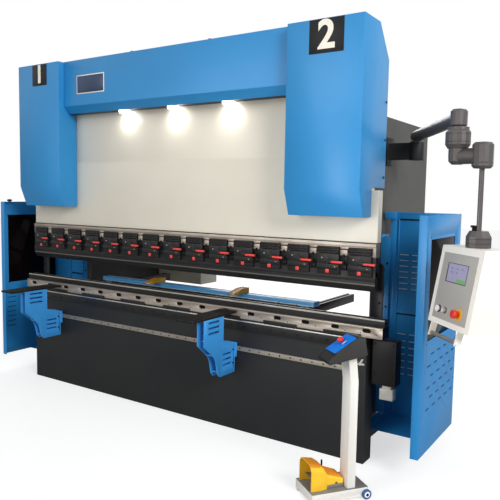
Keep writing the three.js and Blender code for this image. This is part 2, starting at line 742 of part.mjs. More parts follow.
// Two slotted side plates with a back, a top and a carriage that runs on the bed's guide rail.
function frontSupport(side, x) {
  const half = support.width / 2;
  const profile = [
    [support.front, support.top],
    [support.front, supportStep.front],
    [supportArch.y, supportArch.z, supportArch.radius],
    [supportFoot.toe, supportFoot.toeTop],
    [supportFoot.front, supportFoot.bottom],
    [support.back, supportFoot.bottom],
    [support.back, supportStep.shelf],
    [support.heel, supportStep.shelf + supportStep.heelRise],
    [support.heel, support.top],
  ];
  const slots = [];
  const slotXs = [x - half - lap, x + half + lap];
  const upperYs = [support.front + supportSlotEnd.upper, support.heel - supportSlotEnd.upper];
  const lowerYs = [supportFoot.front + supportSlotEnd.lowerFront, support.back - supportSlotEnd.lowerBack];
  for (let i = 0; i < supportSlot.count; i++) {
    const upper = supportSlot.upper + i * supportSlot.rise;
    const lower = supportSlot.lower + i * supportSlot.rise;
    slots.push(block(slotXs, upperYs, [upper, upper + supportSlot.height]));
    slots.push(block(slotXs, lowerYs, [lower, lower + supportSlot.height]));
  }
  const plates = [-1, 1].map((sign) => {
    const outer = x + sign * half;
    return barAlongX(profile, [outer, outer - sign * support.plate]);
  });
  const webXs = [x - half + lap, x + half - lap];
  const backYs = [support.back - support.web, support.back];
  const backPlate = block(webXs, backYs, [supportFoot.bottom, supportStep.shelf]);
  const topZs = [support.top - support.web, support.top];
  const topPlate = block(webXs, [support.front, support.heel], topZs);
  const railFront = bedFront - guideRail.depth;
  const carriageXs = [x - carriage.width / 2, x + carriage.width / 2];
  const carriageYs = [support.back - lap, railFront - gap];
  const carriageBlock = block(carriageXs, carriageYs, [carriage.bottom, carriage.top]);
  const bracket = join(cut(join(...plates), ...slots), backPlate, topPlate, carriageBlock);
  place(`${side}_support_bracket`, bracket, blue);
  const tableZs = [support.top + gap, support.top + gap + supportTable.thickness];
  const table = block([x - half, x + half], [supportTable.front, supportTable.back], tableZs);
  place(`${side}_support_table`, table, toolBlack);
}

// ---- Control box arm ----

function armBracket() {
  const { x, y, radius, bottom, top } = shoulder;
  const near = frameOuter + gap;
  const plateYs = [y - bracketPlate.width / 2, y + bracketPlate.width / 2];
  const armYs = [y - bracketArm.width / 2, y + bracketArm.width / 2];
  const bracket = join(
    block([near, near + bracketPlate.thickness], plateYs, [bracketPlate.bottom, bracketPlate.top]),
    block([near + lap, x], armYs, [bracketArm.bottom, bracketArm.top]),
    roundBar(radius, [x, y, bottom], [x, y, top - gap]),
  );
  place("pendant_bracket", bracket, armBrown);
}

function arms() {
  const onShoulder = (z) => [shoulder.x, shoulder.y, z];
  const onElbow = (z) => [elbow.x, elbow.y, z];
  const first = join(
    roundBar(armTube.radius, onShoulder(armTube.z), onElbow(armTube.z)),
    roundBar(armHead.radius, onShoulder(shoulder.top), onShoulder(armHead.top), 12),
    roundBar(armHead.radius, onElbow(elbow.top + gap), onElbow(armHead.top), 12),
  );
  place("pendant_first_arm", first, armBrown);
  const half = wrist.width / 2;
  const second = join(
    roundBar(elbow.radius, onElbow(elbow.bottom), onElbow(elbow.top)),
    roundBar(knuckle.radius, onElbow(knuckle.bottom), onElbow(elbow.bottom + lap), 12),
    roundBar(knuckle.tubeRadius, onElbow(knuckle.tubeZ), [wrist.x, wrist.y, knuckle.tubeZ]),
    block([wrist.x - half, wrist.x + half], [wrist.y - half, wrist.y + half], [wrist.bottom, wrist.top]),
  );
  place("pendant_second_arm", second, armBrown);
}

function controlBox() {
  const turned = new THREE.Group();
  turned.position.set(wrist.x, wrist.y, 0);
  turned.rotation.z = boxTurn;
  machine.add(turned);
  const baseBottom = box.top + gap;
  const baseTop = baseBottom + armPost.baseHeight;
  const rimTop = baseBottom + armPost.rim;
  const column = join(
    roundBar(armPost.baseRadius, [0, 0, baseBottom], [0, 0, rimTop]),
    roundBar(armPost.baseRadius, [0, 0, rimTop - lap], [0, 0, baseTop], 24, armPost.neckRadius),
    roundBar(armPost.radius, [0, 0, baseTop - lap], [0, 0, wrist.bottom - gap]),
  );
  place("pendant_post", column, armBrown, turned);

  // The sloping face has a frame of its own: X across it, Z up it, -Y out of it, Z = 0 at its top edge.
  const face = new THREE.Group();
  face.position.set(0, box.topFront, box.top);
  face.rotation.x = -boxLean;
  turned.add(face);
  face.updateMatrix();
  const profile = [
    [box.topFront, box.top],
    [box.bottomFront, box.bottom],
    [boxBack.heel, box.bottom],
    [box.back, boxBack.bend],
    [box.back, box.top],
  ];
  const holes = [startButton, selector, stopButton].map(({ x, stem }) => {
    const mouth = [x, -stemHole.before, -buttonDrop];
    const end = [x, stemDepth + stemHole.beyond, -buttonDrop];
    return roundBar(stem + stemClearance, mouth, end, 16).applyMatrix4(face.matrix);
  });
  const hollow = [
    [box.topFront + sheet, box.top - sheet],
    [box.bottomFront + sheet + lap, box.bottom + sheet],
    [boxBack.heel - sheet, box.bottom + sheet],
    [box.back - sheet, boxBack.bend],
    [box.back - sheet, box.top - sheet],
  ];
  const cableZs = [box.top - clear, box.top + clear];
  const cableHole = roundBar(boxBack.cableHole, [0, 0, cableZs[0]], [0, 0, cableZs[1]], 16);
  const cavity = barAlongX(hollow, [box.left + sheet, box.right - sheet]);
  const shell = cut(barAlongX(profile, [box.left, box.right]), cavity, cableHole, ...holes);
  place("control_box", join(shell, ...handlePieces()), boxWhite, turned);

  const screenXs = [screen.x - screen.width / 2, screen.x + screen.width / 2];
  const screenZs = [-screen.drop - screen.height / 2, -screen.drop + screen.height / 2];
  place("operator_screen", block(screenXs, [-gap - screen.thickness, -gap], screenZs), toolBlack, face);
  place("start_button", pushButton(startButton, startButton.travel), boxWhite, face);
  place("selector_switch", pushButton(selector, 0), charcoal, face);
  place("emergency_stop", pushButton(stopButton, stopButton.neck), red, face);
}

// A round cap that stands off the face on a stem, which goes down into the face.
function pushButton({ x, radius, height, stem }, standOff) {
  const inner = -capClearance - standOff;
  const drop = -buttonDrop;
  return join(
    roundBar(radius, [x, inner, drop], [x, inner - height, drop], 20),
    roundBar(stem, [x, stemDepth, drop], [x, inner - lap, drop], 16),
  );
}

// Two flat arms under the box that carry a round bar.
function handlePieces() {
  const z = box.bottom - handle.drop;
  const y = (handleArm.front + handleArm.back) / 2;
  const low = z - handle.radius - 2 * lap;
  const root = box.bottom + 2 * lap;
  const armProfile = [
    [box.bottomFront, root],
    [box.bottomFront + handleArm.root, root],
    [handleArm.back, low],
    [handleArm.front, low],
  ];
  const bar = roundBar(handle.radius, [handle.left, y, z], [handle.right, y, z], 16);
  const armEnds = [handle.left, handle.right - handleArm.thickness];
  return [bar, ...armEnds.map((x) => barAlongX(armProfile, [x, x + handleArm.thickness]))];
}

// ---- Foot-switch pedestal ----

function pedestalStand() {
  const stood = new THREE.Group();
  stood.position.set(pedestal.x, pedestal.y, 0);
  stood.rotation.z = pedestal.turn;
  machine.add(stood);
  const under = base.deck - base.deckThickness;
  const barZs = [base.lift, under + lap];
  const ends = [base.left, base.right];
  const footX = base.left + foot.inset;
  const frame = join(
    block(ends, [base.front, base.back], [under, base.deck]),
    block(ends, [base.front, base.front + base.bar], barZs),
    block(ends, [base.back - base.bar, base.back], barZs),
    block([base.left, base.left + base.bar], [base.front, base.back], barZs),
    ...[base.front + foot.inset, base.back - foot.inset].map((y) =>
      roundBar(foot.radius, [footX, y, 0], [footX, y, base.lift + lap], 16),
    ),
  );
  const axleRadius = wheel.axle + boreClearance;
  const axle = (y) => [wheel.x, y, wheel.radius];
  const axleHole = roundBar(axleRadius, axle(base.front - lap), axle(base.back + lap), 16);
  place("pedestal_base", cut(frame, axleHole), boxWhite, stood);
  const wheelYs = [base.front - wheel.standOff - wheel.width, base.back + wheel.standOff];
  const wheels = join(
    roundBar(wheel.axle, axle(wheelYs[0]), axle(wheelYs[1] + lap), 16),
    ...wheelYs.map((y) => roundBar(wheel.radius, axle(y), axle(y + wheel.width), 32)),
  );
  place("pedestal_wheels", wheels, blue, stood);

  const slope = (head.heel - head.lip) / (head.backX - head.lipX);
  const headUnder = (x) => head.lip + (x - head.lipX) * slope;
  const right = stand.left + stand.width;
  const standProfile = [
    [stand.left, base.deck + gap],
    [right, base.deck + gap],
    [right, stand.kink],
    [right + stand.lean, headUnder(right + stand.lean) - gap],
    [stand.left + stand.lean, headUnder(stand.left + stand.lean) - gap],
    [stand.left, stand.kink],
  ];
  place("pedestal_post", barAlongY(standProfile, [stand.front, stand.back]), boxWhite, stood);

  // The panel of the head has a frame of its own: X up the slope, Z out of it, from the panel's lower edge.
  const rise = Math.atan2(headTop.ridgeZ - headTop.panelZ, headTop.ridgeX - headTop.panelX);
  const slopeLength = Math.hypot(headTop.ridgeZ - headTop.panelZ, headTop.ridgeX - headTop.panelX);
  const panel = new THREE.Group();
  panel.position.set(headTop.panelX, 0, headTop.panelZ);
  panel.rotation.y = -rise;
  stood.add(panel);
  panel.updateMatrix();
  const stopX = headStop.along * slopeLength;
  const holeRadius = headStop.stem + stemClearance;
  const stopAxis = (z) => [stopX, headStop.y, z];
  const holeEnds = [-stemDepth - stemHole.beyond, stemHole.before].map(stopAxis);
  const stopHole = roundBar(holeRadius, ...holeEnds, 16);
  const headProfile = [
    [head.lipX, head.lip],
    [head.backX, head.heel],
    [headTop.backX, headTop.backZ],
    [headTop.ridgeX, headTop.ridgeZ],
    [headTop.panelX, headTop.panelZ],
    [head.frontX, headTop.frontZ],
  ];
  const headBody = barAlongY(headProfile, [-head.halfWidth, head.halfWidth]);
  place("pedestal_head", cut(headBody, stopHole.applyMatrix4(panel.matrix)), frameGrey, stood);
  const capBottom = headStop.neck;
  const mushroom = join(
    roundBar(headStop.radius, stopAxis(capBottom), stopAxis(capBottom + headStop.height), 20),
    roundBar(headStop.stem, stopAxis(-stemDepth), stopAxis(capBottom + lap), 16),
  );
  place("pedestal_emergency_stop", mushroom, red, panel);
  footSwitch(stood);
}

// A hood that is open to the front, over a pedal on a cross pin.
function footSwitch(stood) {
  const floor = base.deck + gap;
  const { front, back, left, right, wall } = hood;
  const roof = (lower) => [
    [hoodBends.crest, hoodRoof.crest - lower],
    [hoodBends.step - lower / 2, hoodRoof.step - lower],
    [hoodBends.tail, hoodRoof.tail - lower],
  ];
  const outer = [
    [front, floor],
    [front, hoodRoof.mouth],
    ...roof(0),
    [back, hoodRoof.end],
    [back, floor],
  ];
  const inside = [
    [front - clear, floor + hood.floor],
    [front - clear, hoodRoof.mouth - wall],
    ...roof(wall).slice(0, 2),
    [hood.insideBack, hoodRoof.tail - wall],
    [hood.insideBack, floor + hood.floor],
  ];
  const shell = cut(barAlongY(outer, [left, right]), barAlongY(inside, [left + wall, right - wall]));
  place("pedal_hood", shell, yellow, stood);
  const pinYs = [left + wall + gap, right - wall - gap];
  const tread = [
    [pedal.tip, pedal.tipZ],
    [pedal.pinX, pedal.pinZ - pedal.thickness / 2],
    [pedal.pinX, pedal.pinZ + pedal.thickness / 2],
    [pedal.tip, pedal.tipZ + pedal.thickness],
  ];
  const treadBar = join(
    barAlongY(tread, [left + pedal.side, right - pedal.side]),
    roundBar(pedal.pinRadius, [pedal.pinX, pinYs[0], pedal.pinZ], [pedal.pinX, pinYs[1], pedal.pinZ], 12),
  );
  place("pedal", treadBar, charcoal, stood);
}

// ---- Assembly ----

bed();
vDie();
ram();
beamCover();
crowningDrive();
oilTank();
electricalCabinet();
backGauge();
armBracket();
arms();
controlBox();
pedestalStand();
for (const [side, sign] of SIDES) {
  sideFrame(side, sign);
  cylinderAndRod(side, sign);
  cylinderCover(side, sign);
  sideGuard(side, sign);
  scaleBracketPlate(side, sign);
  gaugeRailBar(side, sign);
  frontSupport(side, supportX[side]);
}

export default machine;
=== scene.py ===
# A hydraulic press brake, dressed piece by piece around its packed construction.
# Metres, +X to the operator's right, +Y away from the operator, +Z up.
import json
import math

import bmesh
import bpy
from mathutils import Matrix, Vector

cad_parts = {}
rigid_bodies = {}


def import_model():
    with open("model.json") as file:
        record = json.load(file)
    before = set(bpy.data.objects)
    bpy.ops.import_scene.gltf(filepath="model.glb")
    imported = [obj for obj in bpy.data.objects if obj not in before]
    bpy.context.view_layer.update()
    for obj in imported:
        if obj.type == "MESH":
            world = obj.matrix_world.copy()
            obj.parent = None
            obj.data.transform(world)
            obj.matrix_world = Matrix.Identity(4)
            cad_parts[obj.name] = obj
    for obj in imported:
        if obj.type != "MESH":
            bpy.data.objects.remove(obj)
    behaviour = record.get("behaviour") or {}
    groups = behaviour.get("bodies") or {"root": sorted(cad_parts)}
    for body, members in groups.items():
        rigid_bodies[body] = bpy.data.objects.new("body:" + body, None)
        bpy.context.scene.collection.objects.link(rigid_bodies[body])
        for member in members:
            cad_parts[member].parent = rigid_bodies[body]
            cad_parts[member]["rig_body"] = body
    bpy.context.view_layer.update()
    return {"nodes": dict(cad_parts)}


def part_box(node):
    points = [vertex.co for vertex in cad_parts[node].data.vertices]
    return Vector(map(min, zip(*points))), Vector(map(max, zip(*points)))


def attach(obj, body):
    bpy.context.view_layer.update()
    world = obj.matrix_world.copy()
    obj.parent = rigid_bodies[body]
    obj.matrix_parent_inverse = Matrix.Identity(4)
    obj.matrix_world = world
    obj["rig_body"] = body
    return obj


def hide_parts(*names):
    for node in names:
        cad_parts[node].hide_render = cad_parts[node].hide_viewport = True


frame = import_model()

# ---- Studio: floor, light and camera ----
# A plain pale floor under a white sky, a broad soft key light from the front right, a weaker fill
# from the front left and a back light. The camera stands at a person's eye height.

scene = bpy.context.scene
scene.view_settings.view_transform = "Standard"


def tone(red, green, blue):
    """A colour written as it looks on a screen, from 0 to 255, as linear values."""
    shares = [value / 255 for value in (red, green, blue)]
    return tuple(s / 12.92 if s <= 0.04045 else ((s + 0.055) / 1.055) ** 2.4 for s in shares) + (1,)


def link(tree, joins):
    """Joins outputs to inputs. Each join is a node and its output, and a node and its input."""
    for source, output, target, inlet in joins:
        tree.links.new(source.outputs[output], target.inputs[inlet])


def add_node(tree, kind, settings=None, **inputs):
    """A node of that kind, with its settings and the values of its named inputs."""
    made = tree.nodes.new(kind)
    for name, value in (settings or {}).items():
        setattr(made, name, value)
    for name, value in inputs.items():
        made.inputs[name.replace("_", " ")].default_value = value
    return made


world = bpy.data.worlds.new("white_room")
scene.world = world
world.use_nodes = True
sky = world.node_tree
sky.nodes.clear()
seen = add_node(sky, "ShaderNodeLightPath")
either = add_node(sky, "ShaderNodeMath", {"operation": "MAXIMUM"})
any_seen = add_node(sky, "ShaderNodeMath", {"operation": "MAXIMUM"})
white = add_node(sky, "ShaderNodeBackground", Color=(1, 1, 1, 1), Strength=1.0)
soft = add_node(sky, "ShaderNodeBackground", Color=(0.93, 0.96, 1, 1), Strength=0.4)
chosen = add_node(sky, "ShaderNodeMixShader")
sky_end = add_node(sky, "ShaderNodeOutputWorld")
link(sky, [
    (seen, "Is Camera Ray", either, 0), (seen, "Is Transmission Ray", either, 1), (either, 0, any_seen, 0),
    (seen, "Is Glossy Ray", any_seen, 1), (any_seen, 0, chosen, 0), (soft, 0, chosen, 1),
    (white, 0, chosen, 2), (chosen, 0, sky_end, 0),
])

floor_mesh = bpy.data.meshes.new("floor")
floor_half = 30
floor_corners = [(-1, -1), (1, -1), (1, 1), (-1, 1)]
floor_mesh.from_pydata(
    [(x * floor_half, y * floor_half, -0.001) for x, y in floor_corners], [], [(0, 1, 2, 3)],
)
floor = bpy.data.objects.new("floor", floor_mesh)
scene.collection.objects.link(floor)
floor_paint = bpy.data.materials.new("pale_floor")
floor_paint.use_nodes = True
floor_nodes = floor_paint.node_tree
floor_shader = floor_nodes.nodes["Principled BSDF"]
floor_shader.inputs["Base Color"].default_value = tone(186, 186, 184)
floor_shader.inputs["Roughness"].default_value = 0.65
floor_shader.inputs["Emission Color"].default_value = (1, 1, 1, 1)
floor_path = add_node(floor_nodes, "ShaderNodeLightPath")
floor_glow = add_node(floor_nodes, "ShaderNodeMath", {"operation": "MULTIPLY"})
floor_glow.inputs[1].default_value = 0.62
link(floor_nodes, [
    (floor_path, "Is Camera Ray", floor_glow, 0), (floor_glow, 0, floor_shader, "Emission Strength"),
])
floor_mesh.materials.append(floor_paint)


def area_lamp(name, place, aim, size, power, color=(1, 1, 1)):
    """A round lamp of that size at the place, turned towards the aim."""
    lamp = bpy.data.lights.new(name, "AREA")
    lamp.shape = "DISK"
    lamp.size = size
    lamp.energy = power
    lamp.color = color
    holder = bpy.data.objects.new(name, lamp)
    holder.location = place
    holder.rotation_euler = (Vector(aim) - Vector(place)).to_track_quat("-Z", "Y").to_euler()
    scene.collection.objects.link(holder)


area_lamp("key_light", (8.6, -4.2, 5.6), (0.4, 0, 1.2), 4.0, 660)
area_lamp("fill_light", (-2.4, -8.6, 4.2), (-0.2, 0, 1.3), 5.0, 175)
area_lamp("back_light", (-2.5, 6.5, 5.0), (0, 0.6, 1.2), 4.0, 160)

eye = Vector((2.8311, -3.2992, 1.5697))
yaw, pitch, roll = math.radians(33.45), math.radians(5.13), math.radians(1.02)
ahead = Vector((-math.sin(yaw) * math.cos(pitch), math.cos(yaw) * math.cos(pitch), -math.sin(pitch)))
level = Vector((math.cos(yaw), math.sin(yaw), 0))
upright = level.cross(ahead)
across = level * math.cos(roll) + upright * math.sin(roll)
up = upright * math.cos(roll) - level * math.sin(roll)
camera = bpy.data.objects.new("camera", bpy.data.cameras.new("camera"))
camera.data.sensor_width = 36
camera.data.lens = 43.67
camera.data.clip_start, camera.data.clip_end = 0.05, 200
camera.matrix_world = Matrix((
    (across.x, up.x, -ahead.x, eye.x),
    (across.y, up.y, -ahead.y, eye.y),
    (across.z, up.z, -ahead.z, eye.z),
    (0, 0, 0, 1),
))
scene.collection.objects.link(camera)
scene.camera = camera

# ---- Bed plate ----
# One 115 mm steel plate that stands on the floor on edge and carries all the lower tooling.
# It is painted charcoal with a satin enamel that shows a faint orange peel.


def skin_tree():
    """The skin of a finish: patches of a second colour, a fine grain, and an uneven roughness."""
    group = bpy.data.node_groups.new("grain", "ShaderNodeTree")
    colours = {
        "Colour": (0.5, 0.5, 0.5, 1), "Patch Colour": (0.4, 0.4, 0.4, 1), "Grain Colour": (0.3, 0.3, 0.3, 1),
    }
    amounts = {"Patch Scale": 3.0, "Patch Share": 0.5, "Grain Scale": 900.0, "Grain Share": 0.1,
               "Grain Height": 0.0001, "Roughness": 0.5, "Roughness Spread": 0.1}
    for name, value in colours.items():
        group.interface.new_socket(name, in_out="INPUT", socket_type="NodeSocketColor").default_value = value
    for name, value in amounts.items():
        group.interface.new_socket(name, in_out="INPUT", socket_type="NodeSocketFloat").default_value = value
    stretch = group.interface.new_socket("Grain Stretch", in_out="INPUT", socket_type="NodeSocketVector")
    stretch.default_value = (1, 1, 1)
    for name, kind in (("Colour", "Color"), ("Roughness", "Float"), ("Normal", "Vector")):
        group.interface.new_socket(name, in_out="OUTPUT", socket_type="NodeSocket" + kind)
    into = add_node(group, "NodeGroupInput")
    out = add_node(group, "NodeGroupOutput")
    place = add_node(group, "ShaderNodeTexCoord")
    stretched = add_node(group, "ShaderNodeVectorMath", {"operation": "MULTIPLY"})
    fine = add_node(group, "ShaderNodeTexNoise", Detail=3.0, Roughness=0.6)
    broad = add_node(group, "ShaderNodeTexNoise", Detail=4.0, Roughness=0.55)
    patch = add_node(group, "ShaderNodeMapRange", {"interpolation_type": "SMOOTHSTEP"})
    patch.inputs["From Min"].default_value = 0.38
    patch.inputs["From Max"].default_value = 0.66
    patched = add_node(group, "ShaderNodeMix", {"data_type": "RGBA"})
    grained = add_node(group, "ShaderNodeMix", {"data_type": "RGBA"})
    share = add_node(group, "ShaderNodeMath", {"operation": "MULTIPLY"})
    centred = add_node(group, "ShaderNodeMath", {"operation": "SUBTRACT"})
    centred.inputs[1].default_value = 0.5
    spread = add_node(group, "ShaderNodeMath", {"operation": "MULTIPLY_ADD"})
    bump = add_node(group, "ShaderNodeBump", Strength=1.0)
    link(group, [
        (place, "Object", stretched, 0), (into, "Grain Stretch", stretched, 1),
        (stretched, 0, fine, "Vector"), (into, "Grain Scale", fine, "Scale"),
        (place, "Object", broad, "Vector"), (into, "Patch Scale", broad, "Scale"),
        (broad, 0, patch, "Value"), (into, "Patch Share", patch, "To Max"), (patch, 0, patched, 0),
        (into, "Colour", patched, 6), (into, "Patch Colour", patched, 7), (fine, 0, share, 0),
        (into, "Grain Share", share, 1), (share, 0, grained, 0), (patched, 2, grained, 6),
        (into, "Grain Colour", grained, 7), (broad, 0, centred, 0), (centred, 0, spread, 0),
        (into, "Roughness Spread", spread, 1), (into, "Roughness", spread, 2), (fine, 0, bump, "Height"),
        (into, "Grain Height", bump, "Distance"), (grained, 2, out, "Colour"),
        (spread, 0, out, "Roughness"), (bump, 0, out, "Normal"),
    ])
    return group


skin_group = skin_tree()


def finish(name, colour, patch, patches, grain, rough, metallic=0.0, gloss=0.5, grain_colour=None,
           grain_stretch=(1, 1, 1)):
    """A material with the skin group on it.

    Patches gives their scale and share, grain its scale, share and height, and rough the roughness
    and its spread.
    """
    made = bpy.data.materials.new(name)
    made.use_nodes = True
    tree = made.node_tree
    shader = tree.nodes["Principled BSDF"]
    skin = add_node(tree, "ShaderNodeGroup", {"node_tree": skin_group})
    skin.inputs["Colour"].default_value = tone(*colour)
    skin.inputs["Patch Colour"].default_value = tone(*patch)
    skin.inputs["Grain Colour"].default_value = tone(*(grain_colour or patch))
    skin.inputs["Grain Stretch"].default_value = grain_stretch
    amounts = ("Patch Scale", "Patch Share", "Grain Scale", "Grain Share", "Grain Height", "Roughness",
               "Roughness Spread")
    for key, value in zip(amounts, (*patches, *grain, *rough)):
        skin.inputs[key].default_value = value
    shader.inputs["Metallic"].default_value = metallic
    shader.inputs["Specular IOR Level"].default_value = gloss
    link(tree, [
        (skin, "Colour", shader, "Base Color"), (skin, "Roughness", shader, "Roughness"),
        (skin, "Normal", shader, "Normal"),
    ])
    return made


def edge_wear_and_highlight_tree():
    """A mask, white along edges that hands and sheets wear down and along folds that catch light, broken up
    by noise.
    """
    group = bpy.data.node_groups.new("rubbed_edge", "ShaderNodeTree")
    for name, value in {"Width": 0.002, "Break Up": 60.0, "Share": 0.5}.items():
        group.interface.new_socket(name, in_out="INPUT", socket_type="NodeSocketFloat").default_value = value
    group.interface.new_socket("Mask", in_out="OUTPUT", socket_type="NodeSocketFloat")
    into = add_node(group, "NodeGroupInput")
    out = add_node(group, "NodeGroupOutput")
    rounder = add_node(group, "ShaderNodeBevel", {"samples": 4})
    surface = add_node(group, "ShaderNodeNewGeometry")
    alike = add_node(group, "ShaderNodeVectorMath", {"operation": "DOT_PRODUCT"})
    edge = add_node(group, "ShaderNodeMapRange", {"interpolation_type": "SMOOTHSTEP"})
    for name, value in {"From Min": 0.995, "From Max": 0.9, "To Min": 0.0, "To Max": 1.0}.items():
        edge.inputs[name].default_value = value
    place = add_node(group, "ShaderNodeTexCoord")
    spots = add_node(group, "ShaderNodeTexNoise", Detail=5.0, Roughness=0.7)
    broken = add_node(group, "ShaderNodeMapRange", {"interpolation_type": "SMOOTHSTEP"})
    broken.inputs["From Min"].default_value = 0.42
    broken.inputs["From Max"].default_value = 0.6
    both = add_node(group, "ShaderNodeMath", {"operation": "MULTIPLY", "use_clamp": True})
    link(group, [
        (into, "Width", rounder, "Radius"), (rounder, 0, alike, 0), (surface, "Normal", alike, 1),
        (alike, "Value", edge, "Value"), (place, "Object", spots, "Vector"),
        (into, "Break Up", spots, "Scale"), (spots, 0, broken, "Value"), (into, "Share", broken, "To Max"),
        (edge, 0, both, 0), (broken, 0, both, 1), (both, 0, out, "Mask"),
    ])
    return group


rubbed_edge = edge_wear_and_highlight_tree()


def wear_and_highlight_edges(material, edge_colour, width, share):
    """Mixes a material's edges towards a second colour: rubbed steel on the tools and tables, painted
    highlight on the folds of the support brackets.
    """
    tree = material.node_tree
    shader = tree.nodes["Principled BSDF"]
    colour = shader.inputs["Base Color"].links[0].from_socket
    edge_mask = add_node(tree, "ShaderNodeGroup", {"node_tree": rubbed_edge}, Width=width, Share=share)
    mixed = add_node(tree, "ShaderNodeMix", {"data_type": "RGBA"})
    mixed.inputs[7].default_value = tone(*edge_colour)
    tree.links.new(colour, mixed.inputs[6])
    link(tree, [(edge_mask, "Mask", mixed, 0), (mixed, 2, shader, "Base Color")])
    return material


def dress(piece, materials, body, nodes=()):
    """Gives a finished piece its materials and body, and hides the CAD nodes it stands for."""
    held = piece.data.materials
    for number, material in enumerate(materials):
        if number < len(held):
            held[number] = material
        else:
            held.append(material)
    while len(held) > len(materials):
        held.pop()
    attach(piece, body)
    if nodes:
        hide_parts(*nodes)


def rounded(piece, width, segments=2, angle=30):
    """Rounds the piece's sharp edges."""
    bevel = piece.modifiers.new("rounding", "BEVEL")
    bevel.width = width
    bevel.segments = segments
    bevel.limit_method = "ANGLE"
    bevel.angle_limit = math.radians(angle)
    bevel.harden_normals = True
    piece.data.shade_smooth()


def stood(mesh, name):
    """An object in the scene that holds the mesh."""
    piece = bpy.data.objects.new(name, mesh)
    scene.collection.objects.link(piece)
    return piece


def settled(piece):
    """The piece's mesh with its modifiers worked in. The piece itself goes."""
    shown = piece.evaluated_get(bpy.context.evaluated_depsgraph_get())
    mesh = bpy.data.meshes.new_from_object(shown)
    bpy.data.objects.remove(piece)
    return mesh


def whole_faces(node):
    """The shape of a CAD node with its split faces joined."""
    shape = bmesh.new()
    shape.from_mesh(frame["nodes"][node].data)
    bmesh.ops.remove_doubles(shape, verts=shape.verts, dist=1e-5)
    bmesh.ops.dissolve_limit(shape, angle_limit=math.radians(1), verts=shape.verts, edges=shape.edges)
    return shape


def undressed(shape, name, materials):
    """A piece of the shape that isn't fitted to its body yet."""
    mesh = bpy.data.meshes.new(name)
    shape.to_mesh(mesh)
    shape.free()
    for material in materials:
        mesh.materials.append(material)
    return stood(mesh, name)


def carved(piece, cutter):
    """The piece with the cutter's shape taken out of it."""
    name = piece.name
    bmesh.ops.recalc_face_normals(cutter, faces=cutter.faces)
    tool = undressed(cutter, "cutter", [])
    carve = piece.modifiers.new("carve", "BOOLEAN")
    carve.operation, carve.solver, carve.object = "DIFFERENCE", "EXACT", tool
    mesh = settled(piece)
    bpy.data.objects.remove(tool)
    return stood(mesh, name)


def refined(node, materials, width, segments=2, angle=30, cutter=None, second=None):
    """Stands for a CAD node with a copy of its shape that has whole faces and rounded edges.

    A cutter is a shape that is taken out of it. Second says which faces have the second material.
    """
    shape = whole_faces(node)
    for face in shape.faces:
        face.material_index = int(bool(second and second(face.normal, face.calc_center_median())))
    materials = materials if isinstance(materials, list) else [materials]
    piece = undressed(shape, node + "_finished", materials)
    if cutter:
        piece = carved(piece, cutter)
    rounded(piece, width, segments, angle)
    dress(piece, materials, frame["nodes"][node]["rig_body"], [node])


charcoal_enamel = finish(
    "charcoal_enamel", (40, 41, 41), (35, 36, 37), patches=(1.4, 0.8), grain=(420, 0.12, 0.00006),
    rough=(0.5, 0.2), gloss=0.2,
)
refined("bed_plate", charcoal_enamel, 0.003)

# ---- Wedge table ----
# The crowning wedges between the bed and the rail: two black machined bars with a ground steel strip between
# them, held to the bed by a row of small screws.


def block(shape, low, high, edge=0.0, steps=2, material=0):
    """Adds a box with rounded edges to the shape."""
    centre = [(a + b) / 2 for a, b in zip(low, high)]
    size = [abs(b - a) for a, b in zip(low, high)]
    place = Matrix.Translation(centre) @ Matrix.Diagonal((*size, 1))
    corners = bmesh.ops.create_cube(shape, size=1, matrix=place)["verts"]
    for face in {face for corner in corners for face in corner.link_faces}:
        face.material_index = material
    if edge:
        sides = list({side for corner in corners for side in corner.link_edges})
        bmesh.ops.bevel(shape, geom=sides, offset=edge, segments=steps, profile=0.5, affect="EDGES",
                        clamp_overlap=True)


def blocks(*boxes):
    """A shape made of boxes. Each gives its low and high corner, and how its edges are rounded."""
    shape = bmesh.new()
    for box in boxes:
        block(shape, *box)
    return shape


def turned(shape, profile, base, axis=(0, 0, 1), steps=24):
    """Adds a turned solid to the shape. The profile is radii and heights from the base up the axis."""
    place = Matrix.Translation(base) @ Vector(axis).to_track_quat("Z", "Y").to_matrix().to_4x4()
    rings = []
    for radius, height in profile:
        angles = [2 * math.pi * k / steps for k in range(steps)] if radius else [0]
        corners = [Vector((radius * math.cos(a), radius * math.sin(a), height)) for a in angles]
        rings.append([shape.verts.new(place @ corner) for corner in corners])
    for below, above in zip(rings, rings[1:]):
        for k in range(steps):
            around = [below[k % len(below)], below[(k + 1) % len(below)],
                      above[(k + 1) % len(above)], above[k % len(above)]]
            corners = list(dict.fromkeys(around))
            if len(corners) > 2:
                shape.faces.new(corners)
    for ring in (rings[0], rings[-1]):
        if len(ring) > 2:
            shape.faces.new(ring)


def turning(*values, **options):
    """A shape that is one turned solid."""
    shape = bmesh.new()
    turned(shape, *values, **options)
    return shape


def prism(shape, outline, axis, ends, edge=0.0, steps=2, material=0):
    """Adds a plate to the shape: an outline drawn in the plane across the axis, from one end to the other."""
    order = {"X": (2, 0, 1), "Y": (0, 2, 1), "Z": (0, 1, 2)}[axis]
    rims = []
    for end in ends:
        corners = [[(u, v, end)[k] for k in order] for u, v in outline]
        rims.append([shape.verts.new(corner) for corner in corners])
    count = len(outline)
    made = [shape.faces.new(rims[0]), shape.faces.new(rims[1])]
    for k in range(count):
        made.append(
            shape.faces.new([rims[0][k], rims[0][(k + 1) % count], rims[1][(k + 1) % count], rims[1][k]]),
        )
    for face in made:
        face.material_index = material
    if edge:
        sides = list({side for face in made for side in face.edges})
        bmesh.ops.recalc_face_normals(shape, faces=made)
        bmesh.ops.bevel(shape, geom=sides, offset=edge, segments=steps, profile=0.5, affect="EDGES",
                        clamp_overlap=True)


